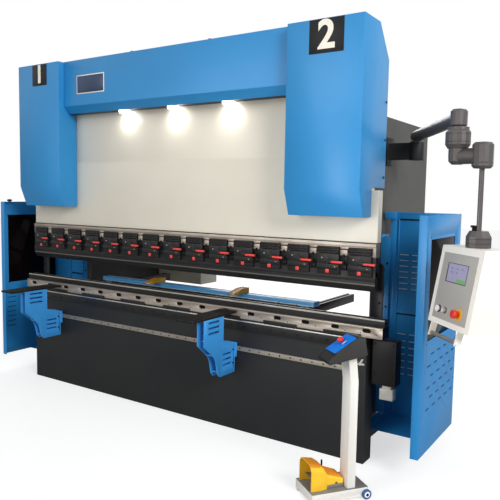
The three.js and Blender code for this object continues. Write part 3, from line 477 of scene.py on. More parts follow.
def meshed(shape, name, place=None, angle=35):
    """Turns the shape into a mesh with its faces outward and its flat faces crisp."""
    if place is not None:
        shape.transform(place)
    bmesh.ops.recalc_face_normals(shape, faces=shape.faces)
    mesh = bpy.data.meshes.new(name)
    shape.to_mesh(mesh)
    shape.free()
    mesh.shade_smooth()
    mesh.set_sharp_from_angle(angle=math.radians(angle))
    return mesh


def fitted(name, shape, materials, body="machine", nodes=(), place=None, angle=35):
    """Makes a piece of the shape and fits it to its body."""
    dress(stood(meshed(shape, name, place, angle), name), materials, body, nodes)


def rows_tree():
    """Copies of one piece in rows: a count along a step, and a count of rows along another."""
    tree = bpy.data.node_groups.new("rows_of_pieces", "GeometryNodeTree")
    tree.is_modifier = True
    kinds = {"Piece": "Object", "Start": "Vector", "Step": "Vector", "Count": "Int",
             "Row Step": "Vector", "Row Count": "Int", "Finish": "Material"}
    for name, kind in kinds.items():
        tree.interface.new_socket(name, in_out="INPUT", socket_type="NodeSocket" + kind)
    tree.interface.new_socket("Geometry", in_out="OUTPUT", socket_type="NodeSocketGeometry")
    into = add_node(tree, "NodeGroupInput")
    out = add_node(tree, "NodeGroupOutput")
    one_row = add_node(tree, "GeometryNodeMeshLine", {"mode": "OFFSET"})
    row_starts = add_node(tree, "GeometryNodeMeshLine", {"mode": "OFFSET"})
    all_rows = add_node(tree, "GeometryNodeInstanceOnPoints")
    spots = add_node(tree, "GeometryNodeRealizeInstances")
    piece = add_node(tree, "GeometryNodeObjectInfo")
    copies = add_node(tree, "GeometryNodeInstanceOnPoints")
    whole = add_node(tree, "GeometryNodeRealizeInstances")
    painted = add_node(tree, "GeometryNodeSetMaterial")
    link(tree, [
        (into, "Count", one_row, "Count"), (into, "Start", one_row, "Start Location"),
        (into, "Step", one_row, "Offset"), (into, "Row Count", row_starts, "Count"),
        (into, "Row Step", row_starts, "Offset"), (row_starts, 0, all_rows, "Points"),
        (one_row, 0, all_rows, "Instance"), (all_rows, 0, spots, 0), (into, "Piece", piece, "Object"),
        (spots, 0, copies, "Points"), (piece, "Geometry", copies, "Instance"), (copies, 0, whole, 0),
        (whole, 0, painted, "Geometry"), (into, "Finish", painted, "Material"), (painted, 0, out, 0),
    ])
    return tree


rows_of_pieces = rows_tree()


def rows(name, shape, material, start, step, count, row_step=(0, 0, 0), row_count=1, body="machine"):
    """Makes rows of one shape a single piece and fits it to its body."""
    pattern = stood(meshed(shape, name + "_pattern"), name + "_pattern")
    holder = stood(bpy.data.meshes.new(name), name)
    modifier = holder.modifiers.new("rows", "NODES")
    modifier.node_group = rows_of_pieces
    values = {"Piece": pattern, "Start": start, "Step": step, "Count": count,
              "Row Step": row_step, "Row Count": row_count, "Finish": material}
    for socket in rows_of_pieces.interface.items_tree:
        if socket.in_out == "INPUT":
            modifier[socket.identifier] = values[socket.name]
    mesh = settled(holder)
    bpy.data.objects.remove(pattern)
    dress(stood(mesh, name), [material], body)


def screw_head(radius, height, socket=0.5, facing=(0, -1, 0), steps=12):
    """A round screw head with a dished socket, seated on the origin."""
    shape = bmesh.new()
    inner = radius * socket
    profile = [(radius, 0), (radius, height * 0.7), (radius * 0.86, height), (inner, height),
               (inner * 0.9, height * 0.45), (0, height * 0.45)]
    turned(shape, profile, (0, 0, 0), facing, steps)
    return shape


tool_black = wear_and_highlight_edges(finish(
    "blackened_tool_steel", (27, 26, 27), (36, 35, 35), patches=(5, 0.7), grain=(260, 0.35, 0.00005),
    rough=(0.42, 0.25), metallic=0.2, gloss=0.25, grain_colour=(48, 46, 44),
), (150, 143, 134), width=0.0015, share=0.55)
ground_steel = finish(
    "ground_steel", (174, 163, 151), (148, 137, 126), patches=(6, 0.75), grain=(300, 0.3, 0.00003),
    rough=(0.42, 0.22), metallic=0.7, grain_colour=(132, 122, 112), grain_stretch=(0.06, 1, 1),
)
bright_steel = finish(
    "bright_steel", (214, 212, 208), (190, 187, 182), patches=(20, 0.5), grain=(600, 0.15, 0.00002),
    rough=(0.28, 0.12), metallic=0.85,
)
screw_black = finish(
    "screw_black", (20, 20, 21), (30, 29, 29), patches=(40, 0.5), grain=(900, 0.2, 0.00002),
    rough=(0.4, 0.15), metallic=0.5, gloss=0.2,
)
wedge_low, wedge_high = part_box("wedge_table")
strip_bottom, strip_top = 0.743, 0.751
fitted("wedge_bars", blocks(
    ((wedge_low.x, wedge_low.y, wedge_low.z), (wedge_high.x, wedge_high.y, strip_bottom - 0.002), 0.002),
    ((wedge_low.x, wedge_low.y + 0.006, strip_bottom - 0.003),
    (wedge_high.x, wedge_high.y - 0.006, strip_top + 0.003)),
    ((wedge_low.x, wedge_low.y + 0.001, strip_top + 0.002),
    (wedge_high.x, wedge_high.y - 0.001, wedge_high.z), 0.0015),
), [tool_black], nodes=["wedge_table"])
fitted("wedge_strip", blocks(
    ((wedge_low.x + 0.004, wedge_low.y, strip_bottom), (wedge_high.x - 0.004, wedge_high.y, strip_top),
    0.0015),
), [bright_steel])
rows("wedge_screws", screw_head(0.006, 0.002), screw_black, (-1.45, wedge_low.y, 0.715), (0.1, 0, 0), 30)

# ---- Tool rail ----
# A ground steel rail that carries the die. Pairs of bolts sit in rounded pockets along its front,
# small tapped holes run below them, and black clamping blocks hold its lower edge.

rail_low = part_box("die_rail")[0]
pocket_pitch, pocket_z, pocket_half, pocket_radius, pocket_depth = 0.2, 0.8035, 0.014, 0.0115, 0.012
pockets = bmesh.new()
for number in range(16):
    middle = -1.5 + pocket_pitch * number
    rim = []
    for k in range(16):
        turn = math.pi * (k + 0.5) / 8 - math.pi / 2
        shift = pocket_half if math.cos(turn) > 0 else -pocket_half
        rim.append(
            (middle + shift + pocket_radius * math.cos(turn), pocket_z + pocket_radius * math.sin(turn)),
        )
    prism(pockets, rim, "Y", (rail_low.y - 0.005, rail_low.y + pocket_depth), material=1)
# The pockets' walls take screw_black from the cutter: painted shade in the pockets. The rail's end faces take
# screw_black too.
refined("die_rail", [ground_steel, screw_black], 0.0012, angle=40, cutter=pockets,
        second=lambda normal, middle: abs(normal.x) > 0.9)
for shift in (-0.012, 0.012):
    rows(
        "rail_bolts_left" if shift < 0 else "rail_bolts_right", screw_head(0.0085, 0.008), screw_black,
        (-1.5 + shift, rail_low.y + pocket_depth, pocket_z), (pocket_pitch, 0, 0), 16,
    )
# The tapped holes are thin black discs: painted shade in the holes.
rows(
    "rail_tapped_holes", screw_head(0.0035, 0.0004, 0.9, steps=10), screw_black,
    (-1.56, rail_low.y, 0.7885), (0.0975, 0, 0), 33,
)
rows("rail_clamps", blocks(
    ((-0.12, -0.012, -0.014), (0.12, 0, 0.013), 0.0025),
), tool_black, (-1.203, rail_low.y, 0.7665), (0.425, 0, 0), 7)

# ---- Die ----
# A black hardened steel die with one vee along its top, which sits on the tool rail. The sheets
# have rubbed its two lands bright.

land_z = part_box("v_die")[1].z - 0.002
worn_land = finish(
    "worn_land", (206, 200, 190), (176, 168, 158), patches=(9, 0.7), grain=(500, 0.25, 0.00002),
    rough=(0.3, 0.2), metallic=0.8, grain_stretch=(0.1, 1, 1),
)
die_black = finish(
    "die_black", (27, 26, 27), (34, 33, 33), patches=(5, 0.6), grain=(260, 0.2, 0.00003),
    rough=(0.45, 0.15), metallic=0.1, gloss=0.25,
)
refined("v_die", [die_black, worn_land], 0.001, segments=2, angle=25,
        second=lambda normal, middle: normal.z > 0.9 and middle.z > land_z)
die_low, die_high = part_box("v_die")
fitted("die_worn_edge", blocks(
    ((die_low.x + 0.001, die_low.y - 0.0003, die_high.z - 0.0085),
    (die_high.x - 0.001, die_low.y + 0.002, die_high.z - 0.0004), 0.0002, 1),
), [worn_land])

# ---- Support rail ----
# A ground steel guide along the bed's front, on which the front supports slide. A row of small
# screws holds it.

guide_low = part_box("support_rail")[0]
guide_steel = finish(
    "guide_steel", (158, 150, 138), (138, 130, 119), patches=(5, 0.7), grain=(300, 0.25, 0.00003),
    rough=(0.4, 0.2), metallic=0.5, grain_stretch=(0.06, 1, 1),
)
guide_end = bmesh.new()
block(guide_end, (1.446, -0.06, 0.53), (1.6, -0.02, 0.59))
# The top faces take bright_steel, a painted highlight from light above; the other faces keep the guide steel,
# darkened as painted shade.
refined("support_rail", [guide_steel, bright_steel], 0.001, cutter=guide_end,
        second=lambda normal, middle: normal.z > 0.9)
rows(
    "guide_screws", screw_head(0.0055, 0.0004, 0.6, steps=12), screw_black, (-1.46, guide_low.y, 0.5605),
    (0.0768, 0, 0), 38,
)

# ---- Side frames ----
# Two flame-cut plates, 60 mm thick and C-shaped, which hold the bed below and the cylinders above.
# They are dark grey enamel with the faint waviness of a rolled plate.

frame_enamel = finish(
    "frame_enamel", (74, 73, 71), (66, 65, 64), patches=(2, 0.8), grain=(300, 0.15, 0.0001),
    rough=(0.52, 0.2), gloss=0.2,
)
sides = (("left", -1), ("right", 1))
for side, _ in sides:
    refined(f"{side}_side_frame", frame_enamel, 0.003)

# ---- Ram ----
# The moving beam is one 60 mm steel plate in cream enamel. The piston rods are bolted to its
# shoulders, and the upper tools hang from its lower edge.

cream_enamel = finish(
    "cream_enamel", (226, 219, 203), (219, 211, 194), patches=(1.3, 0.6), grain=(380, 0.06, 0.00005),
    rough=(0.36, 0.12),
)
refined("ram_plate", cream_enamel, 0.003)

# ---- Tool holder and clamps ----
# A ground steel bar under the ram. Fifteen black clamps along its front grip the punch, each with a
# ribbed pad, two bolts, a red lever and a red mark. Steel adjusters fill the gaps between them.

holder_low, holder_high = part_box("clamp_bank")
ram_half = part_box("ram_plate")[1].x
clamp_count, clamp_pitch, clamp_half = 15, 0.204, 0.072
first_clamp = -clamp_pitch * (clamp_count - 1) / 2
clamp_back, clamp_front, lever_front, gap_back = -0.0203, -0.0453, -0.0593, -0.019
fitted("tool_holder_bar", blocks(
    ((-ram_half, -0.02, 1.2255), (ram_half, holder_high.y, 1.3045), 0.0015),
    ((-ram_half, -0.0225, 1.2815), (ram_half, -0.019, 1.2985), 0.001),
), [ground_steel], body="ram", nodes=["clamp_bank"])
fitted("tool_holder_foot", blocks(
    ((-ram_half, -0.0195, holder_low.z), (ram_half, holder_high.y - 0.001, 1.2254), 0.0015),
    ((-ram_half + 0.002, -0.018, 1.304), (ram_half - 0.002, holder_high.y - 0.002, holder_high.z)),
), [tool_black], body="ram")


def clamp_rows(name, shape, material, count=clamp_count, shift=0.0):
    """One of the pieces of a clamp, repeated along the ram."""
    rows(
        name, shape, material, (first_clamp + 0.01 + shift, 0, 0), (clamp_pitch, 0, 0), count, body="ram",
    )


clamp = bmesh.new()
block(clamp, (-clamp_half, -0.04, 1.236), (clamp_half, clamp_back, 1.2785), 0.003)
for rib in range(3):
    rib_bottom = 1.2375 + rib * 0.0138
    block(clamp, (-clamp_half + 0.001, clamp_front, rib_bottom),
          (clamp_half - 0.001, clamp_back - 0.004, rib_bottom + 0.0118), 0.004, 3)
block(clamp, (-clamp_half, -0.0415, 1.176), (clamp_half, clamp_back, 1.2335), 0.0022)
block(clamp, (-0.06, -0.044, 1.17), (-0.002, clamp_back, 1.226), 0.003)
prism(clamp, [(-0.044, 1.148), (-0.044, 1.173), (clamp_back, 1.173), (clamp_back, 1.111),
              (-0.038, 1.111), (-0.038, 1.136)], "X", (-clamp_half, clamp_half), 0.0015)
for x in (-0.0745, 0.0665):
    block(clamp, (x, -0.035, 1.116), (x + 0.008, clamp_back, 1.168), 0.001)
turned(clamp, [(0.0135, 0), (0.0135, 0.004), (0.0105, 0.006), (0.0105, 0.012), (0.009, 0.0135), (0, 0.0135)],
       (0.01, -0.041, 1.187), (0, -1, 0), 16)
block(clamp, (0.004, -0.056, 1.1785), (0.038, -0.045, 1.1955), 0.003)
block(clamp, (0.0985, -0.0575, 1.1775), (0.109, -0.047, 1.1965), 0.003)
clamp_rows("clamp_bodies", clamp, tool_black)

red_paint = finish(
    "red_lever_plastic", (236, 66, 58), (214, 48, 44), patches=(30, 0.5), grain=(700, 0.12, 0.00002),
    rough=(0.38, 0.12),
)
clamp_rows("clamp_levers", blocks(
    ((0.028, lever_front, 1.18), (0.102, -0.046, 1.194), 0.0045, 3),
    ((-0.014, -0.0402, 1.1185), (0.009, -0.0376, 1.143), 0.003),
), red_paint)

clamp = bmesh.new()
for x, z, radius in ((-0.036, 1.208, 0.0045), (0.05, 1.159, 0.0035)):
    turned(clamp, [(radius, 0), (radius, 0.003), (radius * 0.8, 0.0045), (radius * 0.5, 0.0045),
                   (radius * 0.45, 0.002), (0, 0.002)], (x, -0.0432, z), (0, -1, 0), 12)
clamp_rows("clamp_bolts", clamp, bright_steel)

clamp_rows("clamp_adjusters", blocks(
    ((-0.0275, -0.0305, 1.2655), (0.0275, gap_back, 1.28), 0.002),
    ((-0.0215, -0.0325, 1.227), (0.0215, gap_back, 1.2615), 0.003),
), ground_steel, clamp_count - 1, clamp_pitch / 2)
# Black discs at the adjusters, and black blocks in the gaps between the clamps above and below each adjuster:
# painted shade in the holes and gaps.
gap_shade = bmesh.new()
turned(gap_shade, [(0.0095, 0), (0.0095, 0.0015), (0.0078, 0.0022), (0.0066, 0.0008), (0, 0.0008)],
       (0, -0.0322, 1.2275), (0, -1, 0), 16)
block(gap_shade, (-0.024, -0.029, 1.17), (0.024, gap_back, 1.2262), 0.002)
block(gap_shade, (-0.016, -0.03, 1.142), (0.016, gap_back, 1.169), 0.002)
block(gap_shade, (-0.027, -0.028, 1.261), (0.027, gap_back, 1.266))
clamp_rows("adjuster_holes", gap_shade, screw_black, clamp_count - 1, clamp_pitch / 2)

# ---- Punch ----
# A straight upper tool of black hardened steel that narrows to its working tip. The clamps grip
# its top, and its tip is polished by use.

punch_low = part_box("punch")[0]
refined("punch", tool_black, 0.0012, angle=15)
fitted("punch_cheek", blocks(
    ((-ram_half, punch_low.y - 0.0045, 1.085), (ram_half, punch_low.y + 0.002, 1.1105), 0.0015),
), [tool_black], body="ram")
nose_grey = finish(
    "punch_nose_grey", (104, 98, 90), (86, 81, 75), patches=(9, 0.7), grain=(500, 0.25, 0.00002),
    rough=(0.36, 0.2), metallic=0.5, grain_stretch=(0.1, 1, 1),
)
fitted("punch_worn_edge", blocks(
    ((-ram_half + 0.001, punch_low.y - 0.0004, 1.0612), (ram_half - 0.001, punch_low.y + 0.001, 1.0695),
    0.0002, 1),
), [nose_grey], body="ram")

# ---- Cylinders and rods ----
# A hydraulic cylinder in dark grey enamel on each side frame's horn pushes a chromed steel rod.
# Two rows of bolts hold the rod's foot to the ram's shoulder.

chrome = finish(
    "chromed_rod", (206, 208, 210), (188, 190, 194), patches=(12, 0.4), grain=(400, 0.1, 0.00001),
    rough=(0.14, 0.06), metallic=0.95,
)
for side, _ in sides:
    refined(f"{side}_cylinder", frame_enamel, 0.003)
    refined(f"{side}_piston_rod", chrome, 0.002)
    foot_low, foot_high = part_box(f"{side}_piston_rod")
    middle = (foot_low.x + foot_high.x) / 2
    rows(
        f"{side}_rod_bolts", screw_head(0.01, 0.009), screw_black,
        (middle - 0.048, foot_low.y, foot_low.z + 0.013), (0.032, 0, 0), 4, (0, 0, 0.024), 2, body="ram",
    )

# ---- Cylinder covers ----
# Folded 3 mm sheet in blue enamel over each cylinder. Screws along the back edge of each side wall
# hold it to its frame. An axis plate with a cream number on black sits at the top of its front.

blue_enamel = finish(
    "blue_enamel", (40, 141, 203), (37, 134, 195), patches=(1.5, 0.6), grain=(420, 0.06, 0.00006),
    rough=(0.38, 0.12),
)
plate_black = finish(
    "plate_black", (24, 24, 26), (33, 33, 35), patches=(15, 0.5), grain=(600, 0.15, 0.00002),
    rough=(0.4, 0.1), gloss=0.2,
)
number_cream = finish(
    "number_cream", (244, 238, 222), (236, 229, 211), patches=(25, 0.5), grain=(700, 0.08, 0.00001),
    rough=(0.4, 0.1),
)
axis_plates = (  # side, sign and number, then the plate's inner, outer, lower and upper edge
    ("left", -1, "1", 1.14, 1.31, 2.396, 2.556), ("right", 1, "2", 1.15, 1.365, 2.37, 2.558),
)
for side, sign, figure, plate_inner, plate_outer, plate_bottom, plate_top in axis_plates:
    refined(f"{side}_cylinder_cover", blue_enamel, 0.0025)
    cover_low, cover_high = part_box(f"{side}_cylinder_cover")
    for edge, facing in ((cover_low.x, -1), (cover_high.x, 1)):
        wall, bottom, pitch, count = ("out", 1.69, 0.22, 3) if facing == sign else ("in", 2.245, 0.1, 2)
        rows(
            f"{side}_cover_screws_{wall}", screw_head(0.008, 0.003, facing=(facing, 0, 0)), screw_black,
            (edge, cover_high.y - 0.022, bottom), (0, 0, pitch), count,
        )
    fitted(f"{side}_axis_plate", blocks(
        ((sign * plate_inner, cover_low.y - 0.002, plate_bottom),
        (sign * plate_outer, cover_low.y, plate_top), 0.0006),
    ), [plate_black])
    writing = bpy.data.curves.new(f"{side}_axis_number", "FONT")
    writing.body = figure
    writing.size = 1.16 * (plate_top - plate_bottom)
    writing.extrude = 0.0008
    writing.offset = 0.006
    writing.align_x, writing.align_y = "CENTER", "CENTER"
    mesh = settled(stood(writing, f"{side}_axis_number"))
    mesh.transform(
        Matrix.Translation((sign * (plate_inner + plate_outer) / 2, cover_low.y - 0.0026,
                            (plate_bottom + plate_top) / 2))
        @ Matrix.Rotation(math.pi / 2, 4, "X")
    )
    dress(stood(mesh, f"{side}_axis_number"), [number_cream], "machine")

# ---- Beam cover ----
# A long folded cover between the two cylinder covers, with a sloping lower face, a blank name plate
# and two black lifting studs on its top.

# The lifting studs on top are plate_black, and so are the cover's downward faces below 2.18 m: painted shade
# under the cover, above the ram.
refined("beam_cover", [blue_enamel, plate_black], 0.0025,
        second=lambda normal, middle: middle.z > 2.5635 or (normal.z < -0.9 and middle.z < 2.18))
beam_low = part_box("beam_cover")[0]
fitted("name_plate_rim", blocks(
    ((-0.857, beam_low.y - 0.0022, 2.309), (-0.563, beam_low.y, 2.447), 0.0008),
), [number_cream])
plate_blue = finish(
    "plate_blue", (24, 52, 88), (18, 42, 74), patches=(10, 0.5), grain=(600, 0.1, 0.00001), rough=(0.3, 0.1),
)
fitted("name_plate", blocks(
    ((-0.85, beam_low.y - 0.0028, 2.316), (-0.57, beam_low.y, 2.44), 0.0006),
), [plate_blue])

# ---- Work lamps ----
# Three round lamps under the beam cover light the tools. Each is a white enamelled ring around
# a bright glass.

lamp_ring = finish(
    "lamp_ring", (236, 236, 232), (224, 224, 220), patches=(20, 0.5), grain=(500, 0.1, 0.00002),
    rough=(0.4, 0.1),
)
lamp_glass = finish(
    "lamp_glass", (255, 254, 248), (250, 250, 246), patches=(30, 0.5), grain=(300, 0.1, 0.0001),
    rough=(0.2, 0.05),
)
glass_shader = lamp_glass.node_tree.nodes["Principled BSDF"]
glass_shader.inputs["Emission Color"].default_value = (1, 0.99, 0.96, 1)
glass_shader.inputs["Emission Strength"].default_value = 6
for place in ("left", "middle", "right"):
    node = f"{place}_work_lamp"
    lamp_low, lamp_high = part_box(node)
    refined(node, [lamp_ring, lamp_glass], 0.0015,
            second=lambda normal, middle: middle.z < lamp_low.z + 0.012)
    middle = (lamp_low.x + lamp_high.x) / 2
    area_lamp(f"{place}_glow", (middle, -0.05, 2.132), (middle, -0.006, 2.085), 0.05, 0.3, (1, 0.99, 0.95))

# ---- Side guards ----
# A swinging cage of folded blue sheet on each side: a flanged outer panel with rows of slots and a
# smoked window, a louvred panel across it, a floor tray, and a strip hinge on the side frame.

smoked = finish(
    "smoked_window", (14, 10, 9), (11, 8, 7), patches=(2, 0.5), grain=(40, 0.05, 0.00002),
    rough=(0.07, 0.02), gloss=0.05,
)
smoked.node_tree.nodes["Principled BSDF"].inputs["Alpha"].default_value = 0.995
guard_blue = finish(
    "guard_blue", (44, 138, 202), (40, 130, 194), patches=(1.2, 0.6), grain=(420, 0.06, 0.00006),
    rough=(0.36, 0.12), gloss=0.3,
)
louvre_columns, louvre_length, louvre_height, louvre_depth = (1.499, 1.578), 0.058, 0.01, 0.007
louvre_y, panel_front, gap_front, guard_sheet = 0.4698, 0.47, 0.4699, 0.003
shade_blue = finish(
    "shade_blue", (16, 40, 62), (12, 34, 54), patches=(10, 0.5), grain=(420, 0.06, 0.00002),
    rough=(0.5, 0.1), gloss=0.2,
)
# The louvres' lips are a near-white blue, far paler than the guard's paint: painted highlight where light
# catches them.
louvre_lip_highlight = finish(
    "louvre_lip_blue", (216, 230, 242), (200, 216, 230), patches=(10, 0.5), grain=(420, 0.06, 0.00003),
    rough=(0.36, 0.12),
)
louvre_groups = ((0.99, 0.0367, 7), (0.435, 0.0435, 7))
window_screws = (
    (-0.054, 1.362), (0.433, 1.362), (-0.054, 1.07), (0.444, 1.07), (-0.054, 0.778), (0.433, 0.778),
)
for side, sign in sides:
    body = f"{side}_guard"
    cage_low, cage_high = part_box(f"{side}_guard_cage")
    outer_x = cage_high.x if sign > 0 else cage_low.x
    inner_x = outer_x - sign * guard_sheet
    wells = bmesh.new()
    for y, z in window_screws:
        turned(wells, [(0.0062, 0), (0.0062, 0.003)], (outer_x + sign * 0.0015, y, z), (-sign, 0, 0), 12)
    block(wells, (sign * 1.77, -0.125, 0.16), (sign * 1.803, -0.1165, 1.47))
    refined(f"{side}_guard_cage", guard_blue, 0.0015, cutter=wells)
    refined(f"{side}_guard_louvre_panel", guard_blue, 0.001)
    refined(f"{side}_guard_window", smoked, 0.0008)
    # On the panel's inner face: a dark shade_blue sheet, a blue backing sheet over it, and seven dark
    # shade_blue lines that stand for the slots: painted shade inside the cage and in the slots.
    slot_shade = bmesh.new()
    shade_x, back_x, line_x = (inner_x - sign * depth for depth in (0.0006, 0.0014, 0.0018))
    block(slot_shade, (inner_x, -0.095, 0.2), (shade_x, 0.46, 0.765), material=1)
    block(slot_shade, (shade_x, -0.096, 0.199), (back_x, 0.461, 0.766))
    for number in range(7):
        z = 0.64 - 0.042 * number
        block(slot_shade, (back_x, -0.07, z - 0.0028), (line_x, 0.01, z + 0.0028), material=1)
    fitted(f"{side}_slot_liner", slot_shade, [guard_blue, shade_blue], body=body)
    heads = bmesh.new()
    for y, z in window_screws:
        turned(
            heads, [(0.0058, 0), (0.0058, 0.0008), (0.0045, 0.0014), (0.0025, 0.0014), (0.0022, 0.0004),
            (0, 0.0004)], (outer_x - sign * 0.0015, y, z), (sign, 0, 0), 12,
        )
        turned(
            heads, [(0.0065, 0), (0.0065, 0.002), (0.0045, 0.004), (0.0025, 0.004), (0.0022, 0.002),
            (0, 0.002)], (inner_x - sign * 0.0034, y, z), (-sign, 0, 0), 12,
        )
    fitted(f"{side}_window_screws", heads, [screw_black], body=body)
    for column, start in enumerate(louvre_columns):
        middle = sign * (start + louvre_length / 2)
        for group, (lowest, pitch, count) in enumerate(louvre_groups):
            hood = bmesh.new()
            half = louvre_length / 2
            profile = [(0, -louvre_height), (-louvre_depth * 0.35, -louvre_height * 0.7),
                       (-louvre_depth, 0), (-louvre_depth * 0.8, 0.0012), (0, 0.0012)]
            prism(hood, profile, "X", (-half, half), 0.0006, 1)
            rows(
                f"{side}_louvres_{column}_{group}", hood, guard_blue, (middle, louvre_y, lowest),
                (0, 0, pitch), count, body=body,
            )
            rows(f"{side}_louvre_lips_{column}_{group}", blocks(
                ((-half + 0.001, -louvre_depth - 0.0004, -0.0022), (half - 0.001, 0.0, 0.0022), 0.0005, 1),
            ), louvre_lip_highlight, (middle, louvre_y, lowest), (0, 0, pitch), count, body=body)
    fold_in, fold_out, hinge_in, tray_out = (sign * x for x in (1.489, 1.645, 1.393, 1.47))
    fitted(f"{side}_panel_folds", blocks(
        ((sign * 1.482, 0.4635, 0.17), (fold_in, panel_front, 1.428), 0.001),
        ((fold_out, 0.4635, 0.17), (sign * 1.652, panel_front, 1.428), 0.001),
        ((fold_in, 0.46, 0.833), (fold_out, panel_front, 0.84), 0.001),
        ((sign * 1.429, 0.467, 0.15), (sign * 1.468, panel_front, 1.43), 0.0008),
        ((hinge_in, 0.162, 0.145), (tray_out, 0.54, 0.148), 0.0006),
        ((hinge_in, 0.448, 1.436), (tray_out, panel_front, 1.479), 0.002),
    ), [guard_blue], body=body)
    # Black strips at the panel's top and at its lower fold: painted shade in the gaps between the sheets.
    fitted(f"{side}_panel_gaps", blocks(
        ((fold_in, 0.469, 1.429), (fold_out, gap_front, 1.44)),
        ((fold_in, 0.469, 0.82), (fold_out, gap_front, 0.8325)),
    ), [plate_black], body=body)
    strip_in, strip_out = sign * 1.3795, sign * 1.3885
    strip_cuts = bmesh.new()
    block(strip_cuts, (strip_in, 0.43, 1.335), (strip_out, 0.57, 1.428))
    block(strip_cuts, (strip_in, 0.5, 1.42), (strip_out, 0.57, 1.53))
    refined(f"{side}_hinge_post", guard_blue, 0.0015, cutter=strip_cuts)
    rows(
        f"{side}_hinge_screws", screw_head(0.008, 0.003), screw_black,
        (sign * 1.425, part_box(f"{side}_hinge_post")[0].y, 0.3), (0, 0, 0.2833), 4,
    )

# ---- Guard knob ----
# A black plastic knob with a rounded rim, on the front corner of the left guard. It lifts the
# guard's latch pin.

fitted("left_guard_knob", turning(
    [(0.01, 0), (0.01, 0.004), (0.02, 0.007), (0.0215, 0.012), (0.02, 0.018), (0.01, 0.021), (0, 0.0215)],
    (-1.828, -0.048, 1.4795), steps=20,
), [screw_black], body="left_guard")

# ---- Scale brackets ----
# A black steel plate with a rounded top on each end of the bed, which carries the position scale.
# Three bolts hold it from the front.

for side, sign in sides:
    refined(f"{side}_scale_bracket", plate_black, 0.0015)
    rows(
        f"{side}_scale_bolts", screw_head(0.007, 0.005), screw_black,
        (sign * 1.522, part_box(f"{side}_scale_bracket")[0].y, 0.86), (0, 0, 0.09), 3,
    )

# ---- Crowning drive ----
# A black sheet box on the right end of the bed drives the wedges. Its cover is held by four screws,
# and a grey connector plugs in from below.

connector_grey = finish(
    "connector_grey", (196, 192, 184), (176, 172, 164), patches=(20, 0.6), grain=(500, 0.15, 0.00005),
    rough=(0.38, 0.12), metallic=0.1,
)
drive_low, drive_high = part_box("crowning_drive")
fitted("crowning_drive_housing", blocks(
    ((drive_low.x, 0.036, 0.488), (1.529, drive_high.y - 0.002, drive_high.z - 0.004), 0.002),
    ((1.527, drive_low.y, 0.488), (1.668, drive_high.y, drive_high.z), 0.003),
), [tool_black], nodes=["crowning_drive"])
fitted("drive_connector", blocks(
    ((1.576, drive_low.y + 0.002, drive_low.z), (1.656, 0.048, 0.47), 0.003),
    ((1.59, drive_low.y + 0.008, 0.468), (1.642, 0.04, 0.4885)),
), [connector_grey])
rows(
    "drive_cover_screws", screw_head(0.005, 0.0025), screw_black, (1.542, drive_low.y, 0.55),
    (0.11, 0, 0), 2, (0, 0, 0.18), 2,
)
fitted("drive_cover_seams", blocks(
    ((1.53, drive_low.y - 0.0012, 0.64), (1.666, drive_low.y + 0.001, 0.6425)),
    ((1.53, drive_low.y - 0.0012, 0.744), (1.666, drive_low.y + 0.001, 0.7465)),
), [plate_black])

# ---- Oil tank and pump motor ----
# A welded steel tank in dark grey enamel hangs between the frames behind the ram. Two rows of screws
# hold its lid, which carries a finned motor, a filler cap and a breather. A level gauge is on its back.

refined("oil_tank", frame_enamel, 0.003)
tank_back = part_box("oil_tank")[1].y
tank = bmesh.new()
turned(tank, [(0.036, 0), (0.036, 0.012), (0.03, 0.016), (0.03, 0.034), (0.026, 0.038), (0, 0.038)],
       (-0.35, 0.95, 1.95), steps=24)
turned(
    tank, [(0.014, 0), (0.014, 0.01), (0.01, 0.012), (0.01, 0.03), (0, 0.03)], (-0.2, 0.8, 1.95),
    steps=16,
)
block(tank, (-1.1, tank_back - 0.001, 1.62), (-1.04, tank_back + 0.01, 1.86), 0.003)
fitted("tank_fittings", tank, [screw_black])
rows(
    "tank_lid_screws", screw_head(0.007, 0.005, facing=(0, 0, 1)), screw_black, (-1.28, 0.585, 1.95),
    (0.16, 0, 0), 11, (0, 0.64, 0), 2,
)
motor_paint = finish(
    "motor_paint", (60, 92, 124), (54, 84, 114), patches=(6, 0.6), grain=(300, 0.15, 0.0001),
    rough=(0.45, 0.15),
)
refined("pump_motor", motor_paint, 0.002)
motor = bmesh.new()
for number in range(24):
    turn = 2 * math.pi * number / 24
    if math.sin(turn) > -0.65:
        bmesh.ops.create_cube(
            motor, size=1, matrix=Matrix.Translation((0.5, 0.9, 2.072)) @ Matrix.Rotation(turn, 4, "X")
            @ Matrix.Translation((0, 0.0965, 0)) @ Matrix.Diagonal((0.22, 0.017, 0.003, 1)),
        )
block(motor, (0.44, 0.8, 2.15), (0.56, 0.9, 2.19), 0.006)
fitted("motor_fins", motor, [motor_paint])

# ---- Electrical cabinet ----
# A cabinet of folded steel sheet in cream enamel, on the back of the left frame. Its hinged door has
# a long black handle plate.

refined("electrical_cabinet", cream_enamel, 0.003)
refined("cabinet_door", cream_enamel, 0.0015)
door_low, door_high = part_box("cabinet_door")
handle_x = door_low.x + 0.05
fitted("door_handle_plate", blocks(
    ((handle_x - 0.014, door_high.y - 0.006, 1.14), (handle_x + 0.014, door_high.y - 0.0002, 1.3), 0.002),
), [screw_black], body="door")

# ---- Back gauge ----
# Two black rails carry a blue beam that moves to and fro behind the die. Steel fingers with yellow
# stop blocks slide along the beam, and a ground strip edges its front.

